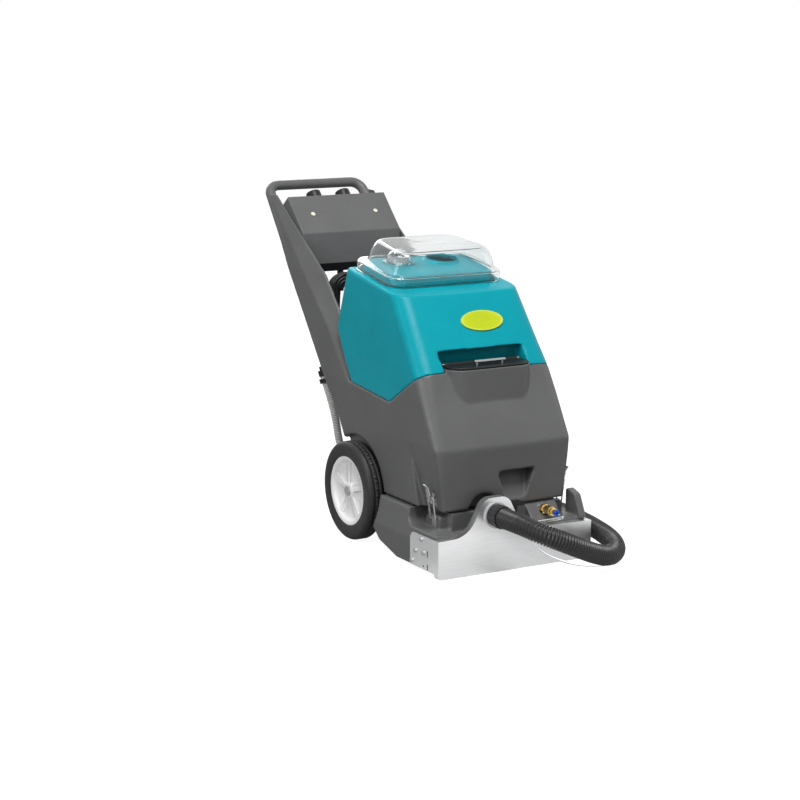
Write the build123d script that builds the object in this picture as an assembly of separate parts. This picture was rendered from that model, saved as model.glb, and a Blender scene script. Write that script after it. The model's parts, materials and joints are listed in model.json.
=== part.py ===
from build123d import *
from math import atan, cos, hypot, pi, radians, sin, tan
import os

os.makedirs("parts", exist_ok=True)

# Overall size in millimetres: the front of the machine faces -Y and the floor is z = 0
machine_length = 1070
machine_width = 450
machine_height = 870
shoe_front = -machine_length / 2
handle_back = machine_length / 2

# Clearances
running_fit = 0.05
press_gap = 0.02
shank_gap = 0.1
seat_gap = 0.3
strap_gap = 0.5

# Wheels
wheel_radius = 127
wheel_width = 46
wheel_y = -81
well_gap = 7
disc_radius = 89
disc_bolt_face = 16
tread_groove = 3.5
axle_radius = 8
axle_shoulder = 14
axle_hold = 30
arch_gap = 16
spoke_count = 5

# Base housing
base_floor = 10
base_rear_floor = 61
base_top = 144
base_rear = 5
base_wall = 6
base_chin_y = -329
base_knee = (-240, 34)
base_step_y = -207
base_narrowing = 12.5
base_flare_z = 75
base_front_round = 10
base_rear_round = 24
seal_height = 4
pocket_floor = 103
pocket_x = 150
pocket_rear = -372
pocket_round = 28
tray_floor = 95
panel_left = 62
ear_inner = 192
ear_outer = 212
ear_top = 166
ear_rear = -461

# Vacuum shoe of folded sheet
shoe_half = 219.5
shoe_depth = 20
shoe_sheet = 2
shoe_top = 95
hump_x = -58
hump_top = 186
hump_half_top = 34
hump_half_foot = 77
hump_foot_radius = 70
hump_top_radius = 33
shoe_toe_round = 10
wrap_rear = -400
wrap_low = 12
port_z = 142
bolt_radius = 3
bolt_head = 5.5
bolt_spots = [(-454, 84), (-426, 50), (-464, 52), (-408, 22)]
spare_hole = (-464, 20)
slot_y = -483.5

# Vacuum hose and its cuffs
hose_radius = 25
hose_root = 22.8
hose_bore = 20
hose_pitch = 9
cuff_radius = 28.5
cuff_ribs = 16
collar_radius = 32.5
collar_height = 6
cuff_end_y = -570
elbow_y = -290
elbow_z = 72
elbow_radius = 34

# Brass coupler and the outlet that the clear tube runs to
coupler_x, coupler_y, coupler_z = 110, -488, 128
coupler_shank = 7
outlet_y, outlet_z = -255, 104
outlet_radius = 5
tube_radius = 3.2

# Brush, belt and motors
brush_y = -400
brush_z = 36
brush_radius = 35
core_radius = 18
tunnel_gap = 7
tunnel_end = 27.5
bush_radius = 13
bush_width = 14
brush_shaft = 6
pulley_inset = 15
pulley_width = 16
brush_pulley = 20
motor_pulley_radius = 13
belt_thick = 2.7
brush_motor_y = -294
brush_motor_z = 66
brush_motor_radius = 36
brush_motor_right = 40
bristle_rows = 10
bristle_thick = 6
pump_y, pump_z = -296, 70
pump_radius = 26
vac_motor_y = -95
vac_fan_radius = 70
vac_motor_height = 156

# Solution tank
split_z = base_top + seal_height
tank_wall = 6
tank_half = 194
tank_foot_half = 193
front_foot_y = -478
crease_y = -483
crease_z = 299
joint_y = -396
joint_z = 472
joint_half = 191
vee_y = -250
vee_z = 384
cradle_rear_y = -40
shelf_z = 404
rear_foot_y = -5
rear_knee_z = 250
rear_knee_grade = 0.59
shelf_rear_y = 117
corner_foot = 20
corner_joint = 42
bow_foot = 3
bow_crease = 12
bow_joint = 7
rear_round = 16
grip_x = 31
grip_half = 54
grip_taper = 26
grip_top = 236
grip_bottom = 162
grip_depth = 36
notch_foot_x = 172
notch_top_x = 196
notch_top_z = 311
notch_rear_foot = -392
notch_rear_top = -346
hump_notch = 44
hump_notch_depth = 14

# Filler
lip_half = 117
lip_front = -438
lip_rear = -352
lip_top = 482
lip_bottom = 392
lip_sag = 10
lip_arc = 600
lip_corner = 12
lip_wall = 6
mouth_floor = 414
flap_thick = 4
flap_pin_y = -366
flap_pin_up = 5
flap_pin_radius = 2
flap_edge_gap = 8
pull_y = -406
pull_length = 88
pull_rise = 9

# Handle frame
arm_inner = 150
arm_top_half = 158
arm_top_drop = 32
arm_mid_z = 531
arm_upper_z = 650
arm_upper_front = 160
handle_radius = 14
handle_corner = 32
handle_low_z = 600

# Control console, placed from the handle's top
console_wall = 3
console_top = (handle_back - 147, machine_height - 34)
console_fold = (handle_back - 238, machine_height - 125)
console_foot = (handle_back - 245, machine_height - 208)
console_back_foot = (handle_back - 192, machine_height - 208)
console_crown = (handle_back - 80, machine_height - 83)
console_tray_z = machine_height - 230
knob_x = 45
knob_radius = 24
knob_height = 32
knob_shaft = 4
screw_x = 96

# Recovery tank and dome lid
shell_wall = 5
deck_front = (-268, 646)
deck_rear_z = 690
deck_half = 178
bulge_y = 46
bulge_z = 531
bulge_half = 187
rear_lean = 0.27
bow_deck = 6
recess_half = 121
recess_rear = -340
recess_top = 519
neck_height = 23
neck_inset = 10
neck_round = 36
port_x = 62
port_y = -66
port_radius = 40
bubble_x = -63
bubble_y = -64
bubble_radius = 34
pipe_radius = 24
lid_half_x = 158
lid_half_y = 104
lid_round = 45
lid_skirt = 27
lid_y = -107
skirt_wall = 5
lid_wall = 3
seal_thick = 3
dome_front_half = 142
dome_rear_half = 122
dome_front_rise = 53
dome_rear_rise = 43
dome_inset = 11
dome_round = 36
badge_x = 29
badge_z = 580
badge_long = 120
badge_short = 56
badge_thick = 2
float_x, float_y = 104, -70
float_radius = 14
float_travel = 20
cage_z = 590
stand_radius = 17

# Hinge between base and tank
hinge_y = 16
hinge_z = 150
hinge_x = 100
hinge_pin_radius = 4
hinge_round = 9
hinge_half = 21
knuckle_half = 13.6

# Latches at both lower front corners
latch_y = -446
latch_z = 176
pivot_out = 13.5
link_up = 9.5
link_out = 13
strap_reach = 46
strap_bar = 4
latch_pin = 2
link_pin = 1.5
boss_inner = 151
boss_outer = 177
boss_front = -468
boss_rear = -400
boss_height = 34
keeper_thick = 2

# Cords and the drain hose
cord_radius = 4
cord_pitch = 8.6
gland_x = 60
hank_x = -35
hank_inner = 24
hank_drop = 156
hank_loops = 3
hank_layers = 4
drain_x = -146
drain_z = 164
drain_radius = 11
drain_root = 9.6
drain_bore = 8
drain_pitch = 4.4

BASE = (Align.CENTER, Align.CENTER, Align.MIN)
far = 900
spare = 20


def prism(points, low, high, radius=0):
    """A side outline of (y, z) corners, spread across the machine from x = low to x = high."""
    face = make_face(FilletPolyline(*points, radius=radius, close=True))
    return Pos(low, 0, 0) * extrude(Plane.YZ * face, high - low)


def front_prism(points, low, high, radius=0):
    """A front outline of (x, z) corners, spread from y = low to y = high."""
    face = make_face(FilletPolyline(*points, radius=radius, close=True))
    return Pos(0, high, 0) * extrude(Plane.XZ * face, high - low)


def plan_prism(points, low, high, radius=0):
    """A plan outline of (x, y) corners, standing from z = low to z = high."""
    face = make_face(FilletPolyline(*points, radius=radius, close=True))
    return Pos(0, 0, low) * extrude(face, high - low)


def block(x, y, z):
    """A box between two values on each axis."""
    size = [high - low for low, high in (x, y, z)]
    middle = [(high + low) / 2 for low, high in (x, y, z)]
    return Pos(*middle) * Box(*size)


def rod(start, end, radius):
    """A round bar from one point to another."""
    run = Vector(*end) - Vector(*start)
    return Plane(Vector(*start), z_dir=run) * Cylinder(radius, run.length, align=BASE)


def rod_x(low, high, y, z, radius):
    """A round bar across the machine."""
    return rod((low, y, z), (high, y, z), radius)


def rod_y(low, high, x, z, radius):
    """A round bar along the machine."""
    return rod((x, low, z), (x, high, z), radius)


def pillar(x, y, low, high, radius):
    """An upright round bar."""
    return Pos(x, y, low) * Cylinder(radius, high - low, align=BASE)


def turned(points, radius=0):
    """A solid turned about X from a profile of (x, r) corners."""
    face = make_face(FilletPolyline(*points, radius=radius, close=True))
    return revolve(face, axis=Axis.X)


def both_sides(part):
    """A piece and its mirror image on the other side of the machine."""
    return [part, mirror(part, about=Plane.YZ)]


def rounded_section(half, front, rear, z, front_radius, rear_radius, bow):
    """A level section of a moulding, with its own corners and a front that bows out in the middle."""
    corners = [(-half, front), (0, front - bow), (half, front), (half, rear), (-half, rear)]
    radii = [front_radius, half**2 / bow / 2, front_radius, rear_radius, rear_radius]
    return Pos(0, 0, z) * make_face(FilletPolyline(*corners, radius=radii, close=True))


def route(points):
    """A cord's line, each corner as round as its two runs allow, with the least radius of its bends."""
    line = [Vector(*point) for point in points]
    radii = []
    for before, here, after in zip(line, line[1:], line[2:]):
        turn = (here - before).get_angle(after - here)
        shorter = min((here - before).length, (after - here).length)
        radii.append(0.45 * shorter / tan(radians(turn / 2)))
    return FilletPolyline(*points, radius=radii), min(radii)


def cord(name, points, radius):
    """A plain round cord along its route."""
    path, tightest = route(points)
    tube = sweep((path ^ 0) * Circle(radius), path=path)
    exact = pi * radius**2 * path.length
    print(f"{name}: length {path.length:.0f}, tightest radius {tightest:.0f}, "
          f"volume ratio {tube.volume / exact:.4f}")
    return tube


def ribbed(name, points, outer, root, bore, pitch, steady):
    """A ribbed hose with its bore; each rib is four rings on one steady axis."""
    path, tightest = route(points)
    ribs = int((path.length - 2 * pitch) / pitch)
    margin = (path.length - ribs * pitch) / 2
    stations = [(0, root)]
    for rib in range(ribs):
        start = margin + rib * pitch
        stations += [(start + share * pitch, radius) for share, radius
                     in ((0.1, root), (0.3, outer), (0.7, outer), (0.9, root))]
    stations.append((path.length, root))
    rings = []
    for along, radius in stations:
        share = along / path.length
        ahead = path % share
        side = ahead.cross(Vector(*steady)).normalized()
        rings.append(Plane(path @ share, x_dir=side, z_dir=ahead) * Circle(radius))
    spans = [loft(rings[at:at + 41], ruled=True) for at in range(0, len(rings) - 1, 40)]
    core = sweep((path ^ 0) * Circle(bore), path=path)
    hose = Part() + spans - core
    full = pi * (0.4 * outer**2 + 0.1 * (outer + root)**2 + 0.2 * root**2 - bore**2) * path.length
    print(f"{name}: length {path.length:.0f}, ribs {ribs}, tightest radius {tightest:.0f}, "
          f"volume ratio {hose.volume / full:.3f}")
    return hose


pieces = {}

# Values that several pieces share
axle_z = wheel_radius
arch_radius = wheel_radius + arch_gap
wheel_x = machine_width / 2 - wheel_width / 2
well_wall_x = machine_width / 2 - wheel_width - well_gap
base_front = shoe_front + shoe_depth
base_half = shoe_half - shoe_sheet
base_top_half = base_half - base_narrowing
tunnel_half = base_half - tunnel_end
pulley_x = pulley_inset - tunnel_half
tunnel_radius = brush_radius + tunnel_gap
tunnel_rear = brush_y + tunnel_radius
spray_slot_rear = brush_y - tunnel_radius - 10
spray_slot_front = base_front + 12
spray_slot_top = 62
bay_floor = base_floor + base_wall
rear_floor = base_rear_floor + base_wall
panel_top_y = front_foot_y + 2
deck_slope = (deck_rear_z - deck_front[1]) / -deck_front[0]
front_slope = (deck_front[0] - joint_y) / (deck_front[1] - joint_z)
notch_grade = (notch_top_x - notch_foot_x) / (notch_top_z - split_z)
cradle_grade = (joint_z - vee_z) / (joint_y - vee_y)
cradle = [(-far, vee_z + cradle_grade * (-far - vee_y)), (vee_y, vee_z), (cradle_rear_y, shelf_z),
          (far, shelf_z)]


def wheel_wells(grow):
    """The two round wells that the wheels turn in."""
    inner = well_wall_x - grow
    length = far - inner
    well = Cylinder(arch_radius + grow, length, rotation=(0, 90, 0))
    return both_sides(Pos(inner + length / 2, wheel_y, axle_z) * well)


def rim_outline(inset):
    """The base's top rim in plan: narrow between the latch pockets, wide, then narrow between the wheels."""
    front, rear = front_foot_y + 5 + inset, rear_foot_y - 1 - inset
    step, waist = pocket_rear + 6 + inset, wheel_y - arch_radius - 16 - inset
    narrow, wide, tail = pocket_x - 2 - inset, tank_foot_half - 1 - inset, well_wall_x - 1 - inset
    right = [(narrow, front), (narrow, step), (wide, step), (wide, waist), (tail, waist), (tail, rear)]
    return right + [(-x, y) for x, y in reversed(right)]


def belly():
    """Everything below the upper face of the base's floor."""
    top = [(-far, bay_floor), (base_chin_y, bay_floor), (base_knee[0], base_knee[1] + base_wall),
           (base_step_y, rear_floor), (far, rear_floor)]
    return prism(top + [(far, 0), (-far, 0)], -far, far)


def base_housing():
    """The lower moulding: an open tub with wheel wells, brush tunnel, latch pockets and the coupler panel."""
    profile = [(base_front, base_floor), (base_chin_y, base_floor), base_knee, (base_step_y, base_rear_floor),
               (base_rear, base_rear_floor), (base_rear, base_top), (base_front, base_top)]
    flare = [(-base_half, base_floor), (base_half, base_floor), (base_half, base_flare_z),
             (base_top_half, base_top), (-base_top_half, base_top), (-base_half, base_flare_z)]
    plan = [(-base_half, base_front), (base_half, base_front), (base_half, base_rear),
            (-base_half, base_rear)]
    corners = [base_front_round, base_front_round, base_rear_round, base_rear_round]
    tub = prism(profile, -base_half, base_half) & front_prism(flare, base_front, base_rear)
    tub = tub & plan_prism(plan, 0, base_top, corners)
    for well in wheel_wells(0):
        tub -= well

    # Latch pockets at both front corners, tray behind the shoe and sloped coupler panel
    ahead, above = base_front - spare, base_top + spare
    pocket = [(ahead, pocket_floor), (pocket_rear, pocket_floor), (pocket_rear, above), (ahead, above)]
    for cut in both_sides(prism(pocket, pocket_x, far, [0, pocket_round, 0, 0])):
        tub -= cut
    tub -= block((-pocket_x, panel_left), (ahead, panel_top_y), (tray_floor, above))
    panel = [(ahead, tray_floor), (base_front, tray_floor + 5), (panel_top_y, base_top), (panel_top_y, above),
             (ahead, above)]
    tub -= prism(panel, panel_left, pocket_x)

    # Rounded bosses that carry the latch keepers, and the raised ear on the hose side
    boss_top = pocket_floor + boss_height
    boss = prism([(boss_front, pocket_floor - 4), (boss_rear, pocket_floor - 4), (boss_rear, boss_top),
                  (boss_front, boss_top)], boss_inner, boss_outer, [0, 0, pocket_round - 4, 6])
    for part in both_sides(boss):
        tub += part
    ear_foot = pocket_floor - spare
    ear = [(ear_rear, ear_foot), (ear_rear, ear_top - 4), (ear_rear - 8, ear_top),
           (base_front + 15, ear_top - 9), (base_front - 13, shoe_top + 5), (base_front, shoe_top + 3),
           (base_front, ear_foot)]
    tub += prism(ear, ear_inner, ear_outer, [0, 0, 6, 14, 4, 0, 0])

    # Machinery bays, brush tunnel, spray slot and belt way
    bay = plan_prism(rim_outline(base_wall), bay_floor, above)
    bay -= block((-far, far), (-far, tunnel_rear + 12), (0, brush_z + tunnel_radius + base_wall))
    tub -= bay - belly()
    tub -= rod_x(-tunnel_half, tunnel_half, brush_y, brush_z, tunnel_radius)
    tub -= block((-tunnel_half, tunnel_half), (brush_y - tunnel_radius, tunnel_rear), (0, brush_z))
    tub -= block((-tunnel_half, tunnel_half), (spray_slot_front, spray_slot_rear), (0, spray_slot_top))
    tub -= block((pulley_x - 11, pulley_x + 17), (tunnel_rear - 20, tunnel_rear + 14), (bay_floor, 84))
    for side in (-1, 1):
        start, end = side * (tunnel_half - 1), side * (tunnel_half + bush_width)
        tub -= rod_x(start, end, brush_y, brush_z, bush_radius)

    # Axle bosses and bores, bolt holes, hose port and coupler hole
    for side in (-1, 1):
        wall, end = side * well_wall_x, side * (well_wall_x - axle_hold - 2)
        boss = rod_x(end, wall, wheel_y, axle_z, axle_shoulder + 1)
        tub += boss - block((-far, far), (-far, far), (base_top, far))
        tub -= rod_x(end - 2 * side, wall, wheel_y, axle_z, axle_radius + running_fit)
        for y, z in bolt_spots:
            tub -= rod_x(side * (base_half - 16), side * far, y, z, bolt_radius + running_fit)
    tub -= rod_x(base_half - 57, far, elbow_y, elbow_z, hose_radius + 2 * seat_gap)
    tub += rod_y(coupler_y, coupler_y + 40, coupler_x, coupler_z, 15)
    tub -= rod_y(base_front - 5, coupler_y, coupler_x, coupler_z, 16)
    tub -= rod_y(coupler_y, coupler_y + 60, coupler_x, coupler_z, coupler_shank)
    tub -= rod_x(base_half - 37, far, outlet_y, outlet_z, outlet_radius)
    return tub


def shoe_outline(inset):
    """The shoe's front outline: flat wings and a hump that sweeps up round the hose port."""
    low, wing, top = -far if inset else 0, shoe_top - inset, hump_top - inset
    half, foot, crown = shoe_half - inset, hump_half_foot - inset, hump_half_top - inset / 2
    toe = 0 if inset else shoe_toe_round
    points = [(-half, low), (half, low), (half, wing), (hump_x + foot, wing + 3), (hump_x + crown, top),
              (hump_x - crown, top), (hump_x - foot, wing + 3), (-half, wing)]
    bend = hump_top_radius - inset
    return points, [toe, toe, 0, hump_foot_radius, bend, bend, hump_foot_radius, 0]


def vacuum_shoe():
    """A hollow folded shoe, open along its bottom slot, with side plates that wrap round the base."""
    points, radii = shoe_outline(0)
    shoe = front_prism(points, shoe_front, base_front, radii)
    points, radii = shoe_outline(shoe_sheet)
    shoe -= front_prism(points, shoe_front + shoe_sheet, base_front - shoe_sheet, radii)
    shoe -= rod_y(shoe_front - 1, base_front - shoe_sheet, hump_x, port_z, hose_radius + 0.9)
    wrap = [(shoe_front, wrap_low), (wrap_rear, wrap_low), (wrap_rear, shoe_top), (shoe_front, shoe_top)]
    plate = prism(wrap, base_half, shoe_half, [0, 6, 20, 0])
    for y, z in bolt_spots + [spare_hole]:
        plate -= rod_x(base_half - 1, shoe_half + 1, y, z, bolt_radius + running_fit)
    for z in (20, 54):
        plate -= block((base_half - 1, shoe_half + 1), (slot_y - 2.5, slot_y + 2.5), (z - 8, z + 8))
    for part in both_sides(plate):
        shoe += part
    return shoe


pieces["base_housing"] = base_housing()
pieces["vacuum_shoe"] = vacuum_shoe()

# Shoe bolts, four on each side plate
bolts = []
for y, z in bolt_spots:
    head = rod_x(shoe_half, shoe_half + 3, y, z, bolt_head)
    shank = rod_x(base_half - 14, shoe_half, y, z, bolt_radius)
    bolts += both_sides(head + shank)
pieces["shoe_bolts"] = bolts

# Steel collar on the shoe, and the hose's straight cuff with its lengthwise ribs
collar_end = shoe_front - collar_height
collar = rod_y(collar_end, shoe_front, hump_x, port_z, collar_radius)
pieces["hose_collar"] = collar - rod_y(collar_end - 1, shoe_front + 1, hump_x, port_z, hose_radius + 0.9)
cuff_start = collar_end - seat_gap
cuff = rod_y(cuff_end_y, cuff_start, hump_x, port_z, cuff_radius - 1.5)
cuff += rod_y(cuff_start, base_front - 6, hump_x, port_z, hose_radius + 0.5)
for rib in range(cuff_ribs):
    angle = 2 * pi * rib / cuff_ribs
    x, z = hump_x + (cuff_radius - 2) * cos(angle), port_z + (cuff_radius - 2) * sin(angle)
    cuff += rod_y(cuff_end_y, cuff_start - 4, x, z, 2)
pieces["hose_cuff"] = cuff - rod_y(cuff_end_y - 5, base_front, hump_x, port_z, hose_bore)

# Ribbed vacuum hose from the shoe round the front corner to the elbow cuff on the side
elbow_x = base_half + elbow_radius
hose_route = [(hump_x, cuff_end_y, port_z), (hump_x, -612, port_z), (-55, -655, 141), (-34, -697, 128),
              (14, -714, 108), (66, -712, 84), (116, -702, 62), (162, -684, 46), (204, -655, 40),
              (240, -614, 40), (264, -564, 44), (272, -508, 51), (266, -446, 62), (254, -382, 71),
              (elbow_x, elbow_y - elbow_radius, elbow_z)]
pieces["vacuum_hose"] = ribbed("vacuum_hose", hose_route, hose_radius, hose_root, hose_bore, hose_pitch,
                               (0, 0, 1))
elbow_line = Pos(0, 0, elbow_z) * CenterArc((base_half, elbow_y - elbow_radius), elbow_radius, 0, 90)
elbow = sweep((elbow_line ^ 0) * Circle(cuff_radius), path=elbow_line)
elbow -= sweep((elbow_line ^ 0) * Circle(hose_bore), path=elbow_line)
spigot = rod_x(base_half - 16, base_half, elbow_y, elbow_z, hose_radius + seat_gap)
pieces["elbow_cuff"] = elbow + (spigot - rod_x(base_half - 18, base_half, elbow_y, elbow_z, hose_bore))

# Stop for the hose cuff, standing on the tray behind the shoe
retainer = block((-30, 38), (base_front + 4, front_foot_y - 8), (150, 158))
retainer += block((-16, 24), (base_front + 14, base_front + 22), (tray_floor, 150))
pieces["cuff_retainer"] = retainer

# Brass coupler on its boss, the blue collet and the clear solution tube
coupler = rod_y(coupler_y, coupler_y + 45, coupler_x, coupler_z, coupler_shank - shank_gap)
hexagon = Plane((coupler_x, coupler_y, coupler_z), x_dir=(1, 0, 0), z_dir=(0, -1, 0)) * RegularPolygon(13, 6)
coupler += extrude(hexagon, 6)
for start, end, radius in ((6, 14, 9), (14, 34, 11), (34, 42, 9.5), (42, 52, 7)):
    coupler += rod_y(coupler_y - end, coupler_y - start, coupler_x, coupler_z, radius)
pieces["brass_coupler"] = coupler
collet_y = coupler_y - 52
collet_end = collet_y - 8
collet = rod_y(collet_y - 4, collet_y, coupler_x, coupler_z, 6)
pieces["blue_collet"] = collet + rod_y(collet_end, collet_y - 4, coupler_x, coupler_z, 7.5)
fitting_x = base_half + 7
fitting = rod_x(base_half - 33, fitting_x - 9, outlet_y, outlet_z, outlet_radius - shank_gap)
pieces["outlet_fitting"] = fitting + rod_x(fitting_x - 9, fitting_x, outlet_y, outlet_z, 8)
floor_z = tube_radius + 1
tube_route = [(coupler_x, collet_end, coupler_z), (coupler_x, -580, coupler_z), (84, -600, 130),
              (46, -607, 132), (4, -606, 132), (-12, -606, 116), (-12, -605, 92), (26, -604, 55),
              (60, -604, 36), (96, -606, 21), (136, -612, 9), (178, -622, floor_z + 1),
              (220, -630, floor_z + 1), (262, -622, 8), (294, -590, 14), (307, -542, 26), (306, -488, 41),
              (298, -432, 59), (290, -376, 78), (281, -312, 96), (264, outlet_y, outlet_z),
              (fitting_x, outlet_y, outlet_z)]
pieces["solution_tube"] = cord("solution_tube", tube_route, tube_radius)

# Spray bar with its jets, ahead of the brush
spray_y, spray_z = (spray_slot_front + spray_slot_rear) / 2, spray_slot_top - 12
spray = rod_x(-tunnel_half, tunnel_half, spray_y, spray_z, 6)
for x in (-110, 0, 110):
    spray += pillar(x, spray_y, spray_z - 16, spray_z, 5)
pieces["spray_bar"] = spray

# Solution pump and brush motor in the front bay, vacuum motor in the rear bay
pump = block((92, 164), (pump_y - 34, pump_y + 34), (bay_floor, pump_z - 22)) - belly()
pump += rod_x(60, 140, pump_y, pump_z, pump_radius)
pump += block((136, 166), (pump_y - pump_radius, pump_y + pump_radius), (pump_z - pump_radius, pump_z + 30))
pieces["solution_pump"] = pump
motor_left = pulley_x + pulley_width / 2 + 8
brush_motor = rod_x(motor_left, brush_motor_right, brush_motor_y, brush_motor_z, brush_motor_radius)
for x in (motor_left + 29, brush_motor_right - 30):
    brush_motor += block((x, x + 22), (brush_motor_y - 30, brush_motor_y + 30),
                         (bay_floor, brush_motor_z - 15)) - belly()
shaft_hole = rod_x(pulley_x - 20, motor_left + 30, brush_motor_y, brush_motor_z, brush_shaft + running_fit)
pieces["brush_motor"] = brush_motor - shaft_hole
fan_z, body_z, cap_z = rear_floor, rear_floor + 62, rear_floor + 132
vacuum = pillar(0, vac_motor_y, fan_z, body_z, vac_fan_radius) + pillar(0, vac_motor_y, body_z, cap_z, 48)
pieces["vacuum_motor"] = vacuum + pillar(0, vac_motor_y, cap_z, rear_floor + vac_motor_height, 34)

# Brush roller with its pulley, spinning in two bushes
pulley_low, pulley_high = pulley_x - pulley_width / 2, pulley_x + pulley_width / 2
brush_core = rod_x(pulley_high + 3, tunnel_half - 4, brush_y, brush_z, core_radius)
brush_core += rod_x(-tunnel_half - 10, tunnel_half + 10, brush_y, brush_z, brush_shaft)
pieces["brush_core"] = brush_core + rod_x(pulley_low, pulley_high, brush_y, brush_z, brush_pulley)
bristles = []
for row in range(bristle_rows):
    strip = block((pulley_high + 9, tunnel_half - 8), (-bristle_thick / 2, bristle_thick / 2),
                  (0, brush_radius))
    strip -= Cylinder(core_radius + press_gap, 3 * tunnel_half, rotation=(0, 90, 0))
    bristles.append(Pos(0, brush_y, brush_z) * Rot(360 * row / bristle_rows, 0, 0) * strip)
pieces["brush_bristles"] = bristles
bush_end = tunnel_half + bush_width
bush = rod_x(tunnel_half + 0.5, bush_end, brush_y, brush_z, bush_radius - press_gap)
pieces["brush_bushes"] = both_sides(
    bush - rod_x(tunnel_half, bush_end + 1, brush_y, brush_z, brush_shaft + running_fit))

# Motor pulley and the belt round both pulleys
pulley = rod_x(pulley_low, pulley_high, brush_motor_y, brush_motor_z, motor_pulley_radius)
pulley += rod_x(pulley_low, motor_left + 28, brush_motor_y, brush_motor_z, brush_shaft)
pieces["motor_pulley"] = pulley


def belt_loop(grow):
    """The flat outline that runs round both pulleys at one distance from them."""
    rings = [Pos(brush_y, brush_z) * Circle(brush_pulley + grow),
             Pos(brush_motor_y, brush_motor_z) * Circle(motor_pulley_radius + grow)]
    return make_hull([edge for ring in rings for edge in ring.edges()])


belt = extrude(Plane.YZ * belt_loop(seat_gap + belt_thick), pulley_width / 2 - 2, both=True)
belt -= extrude(Plane.YZ * belt_loop(seat_gap), pulley_width / 2, both=True)
pieces["drive_belt"] = Pos(pulley_x, 0, 0) * belt

# Soft seal between base and tank
pieces["split_seal"] = plan_prism(rim_outline(0), base_top, split_z) - plan_prism(
    rim_outline(base_wall - 0.5), base_top - 1, split_z + 1)

# Stub axles with a shoulder behind each wheel and a nut outside it
hub_in, hub_out = wheel_x - wheel_width / 2, wheel_x + disc_bolt_face
axle = rod_x(well_wall_x - axle_hold, hub_out + 5.5, wheel_y, axle_z, axle_radius)
axle += rod_x(well_wall_x, hub_in + 0.5, wheel_y, axle_z, axle_shoulder)
nut = Plane((hub_out + 0.5, wheel_y, axle_z), x_dir=(0, 1, 0), z_dir=(1, 0, 0)) * RegularPolygon(13, 6)
pieces["stub_axles"] = both_sides(axle + extrude(nut, 5))

# Wheels: a dished disc with broad spokes inside a rubber tyre with two tread grooves
half = wheel_width / 2
groove = wheel_radius - tread_groove
tyre = turned([(-half + 2, disc_radius), (-half, disc_radius + 5), (-half, wheel_radius), (-8, wheel_radius),
               (-8, groove), (-5, groove), (-5, wheel_radius), (5, wheel_radius), (5, groove), (8, groove),
               (8, wheel_radius), (half, wheel_radius), (half, disc_radius + 5), (half - 2, disc_radius)],
              [0, 0, 12, 0, 0, 0, 0, 0, 0, 0, 0, 12, 0, 0])
rim, dish = disc_radius - press_gap, disc_radius - 17
bore = axle_radius + running_fit
disc = turned([(-half + 1, bore), (disc_bolt_face, bore), (disc_bolt_face, 20), (11, 24), (11, dish),
               (half - 3, dish + 7), (half - 3, rim), (-half + 3, rim), (-half + 3, dish + 7), (5, dish),
               (5, 24), (-half + 1, 20)])
for spoke in range(spoke_count):
    disc += Rot(360 * spoke / spoke_count, 0, 0) * block((9, 14), (-9, 9), (21, dish + 2))
for name, shape in (("disc", disc), ("tyre", tyre)):
    right, left = both_sides(Pos(wheel_x, wheel_y, axle_z) * shape)
    pieces["right_" + name] = right
    pieces["left_" + name] = left


def front_at(z):
    """The y of the solution tank's front face at a height, at its sides."""
    if z < crease_z:
        return front_foot_y + (z - split_z) / (crease_z - split_z) * (crease_y - front_foot_y)
    return crease_y + (z - crease_z) / (joint_z - crease_z) * (joint_y - crease_y)


def notch_at(z):
    """The x of the latch notch's leaning floor at a height."""
    return notch_foot_x + (z - split_z) * notch_grade


def solution_form(inset):
    """The solution tank's outside, or its inside when inset by the wall."""
    crease_rear = rear_foot_y + (crease_z - rear_knee_z) * rear_knee_grade
    shelf_grade = (shelf_rear_y - crease_rear) / (shelf_z - crease_z)
    top_z = joint_z + spare
    levels = [(split_z + inset, tank_foot_half, rear_foot_y, corner_foot, bow_foot),
              (rear_knee_z, tank_half, rear_foot_y, corner_foot + 1, bow_crease - 3),
              (crease_z, tank_half + 1, crease_rear, corner_foot + 2, bow_crease),
              (shelf_z, tank_half, shelf_rear_y, corner_joint - 10, bow_joint + 1),
              (top_z, joint_half, shelf_rear_y + shelf_grade * (top_z - shelf_z), corner_joint, bow_joint)]
    rings = [rounded_section(half_x - inset, front_at(z) + inset, rear - inset, z, corner - inset,
                             rear_round - inset, bow) for z, half_x, rear, corner, bow in levels]
    drop = 1.25 * inset
    over = [(y, z - drop) for y, z in cradle] + [(far, 2 * far), (-far, 2 * far)]
    return loft(rings, ruled=True) - prism(over, -far, far)


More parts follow.
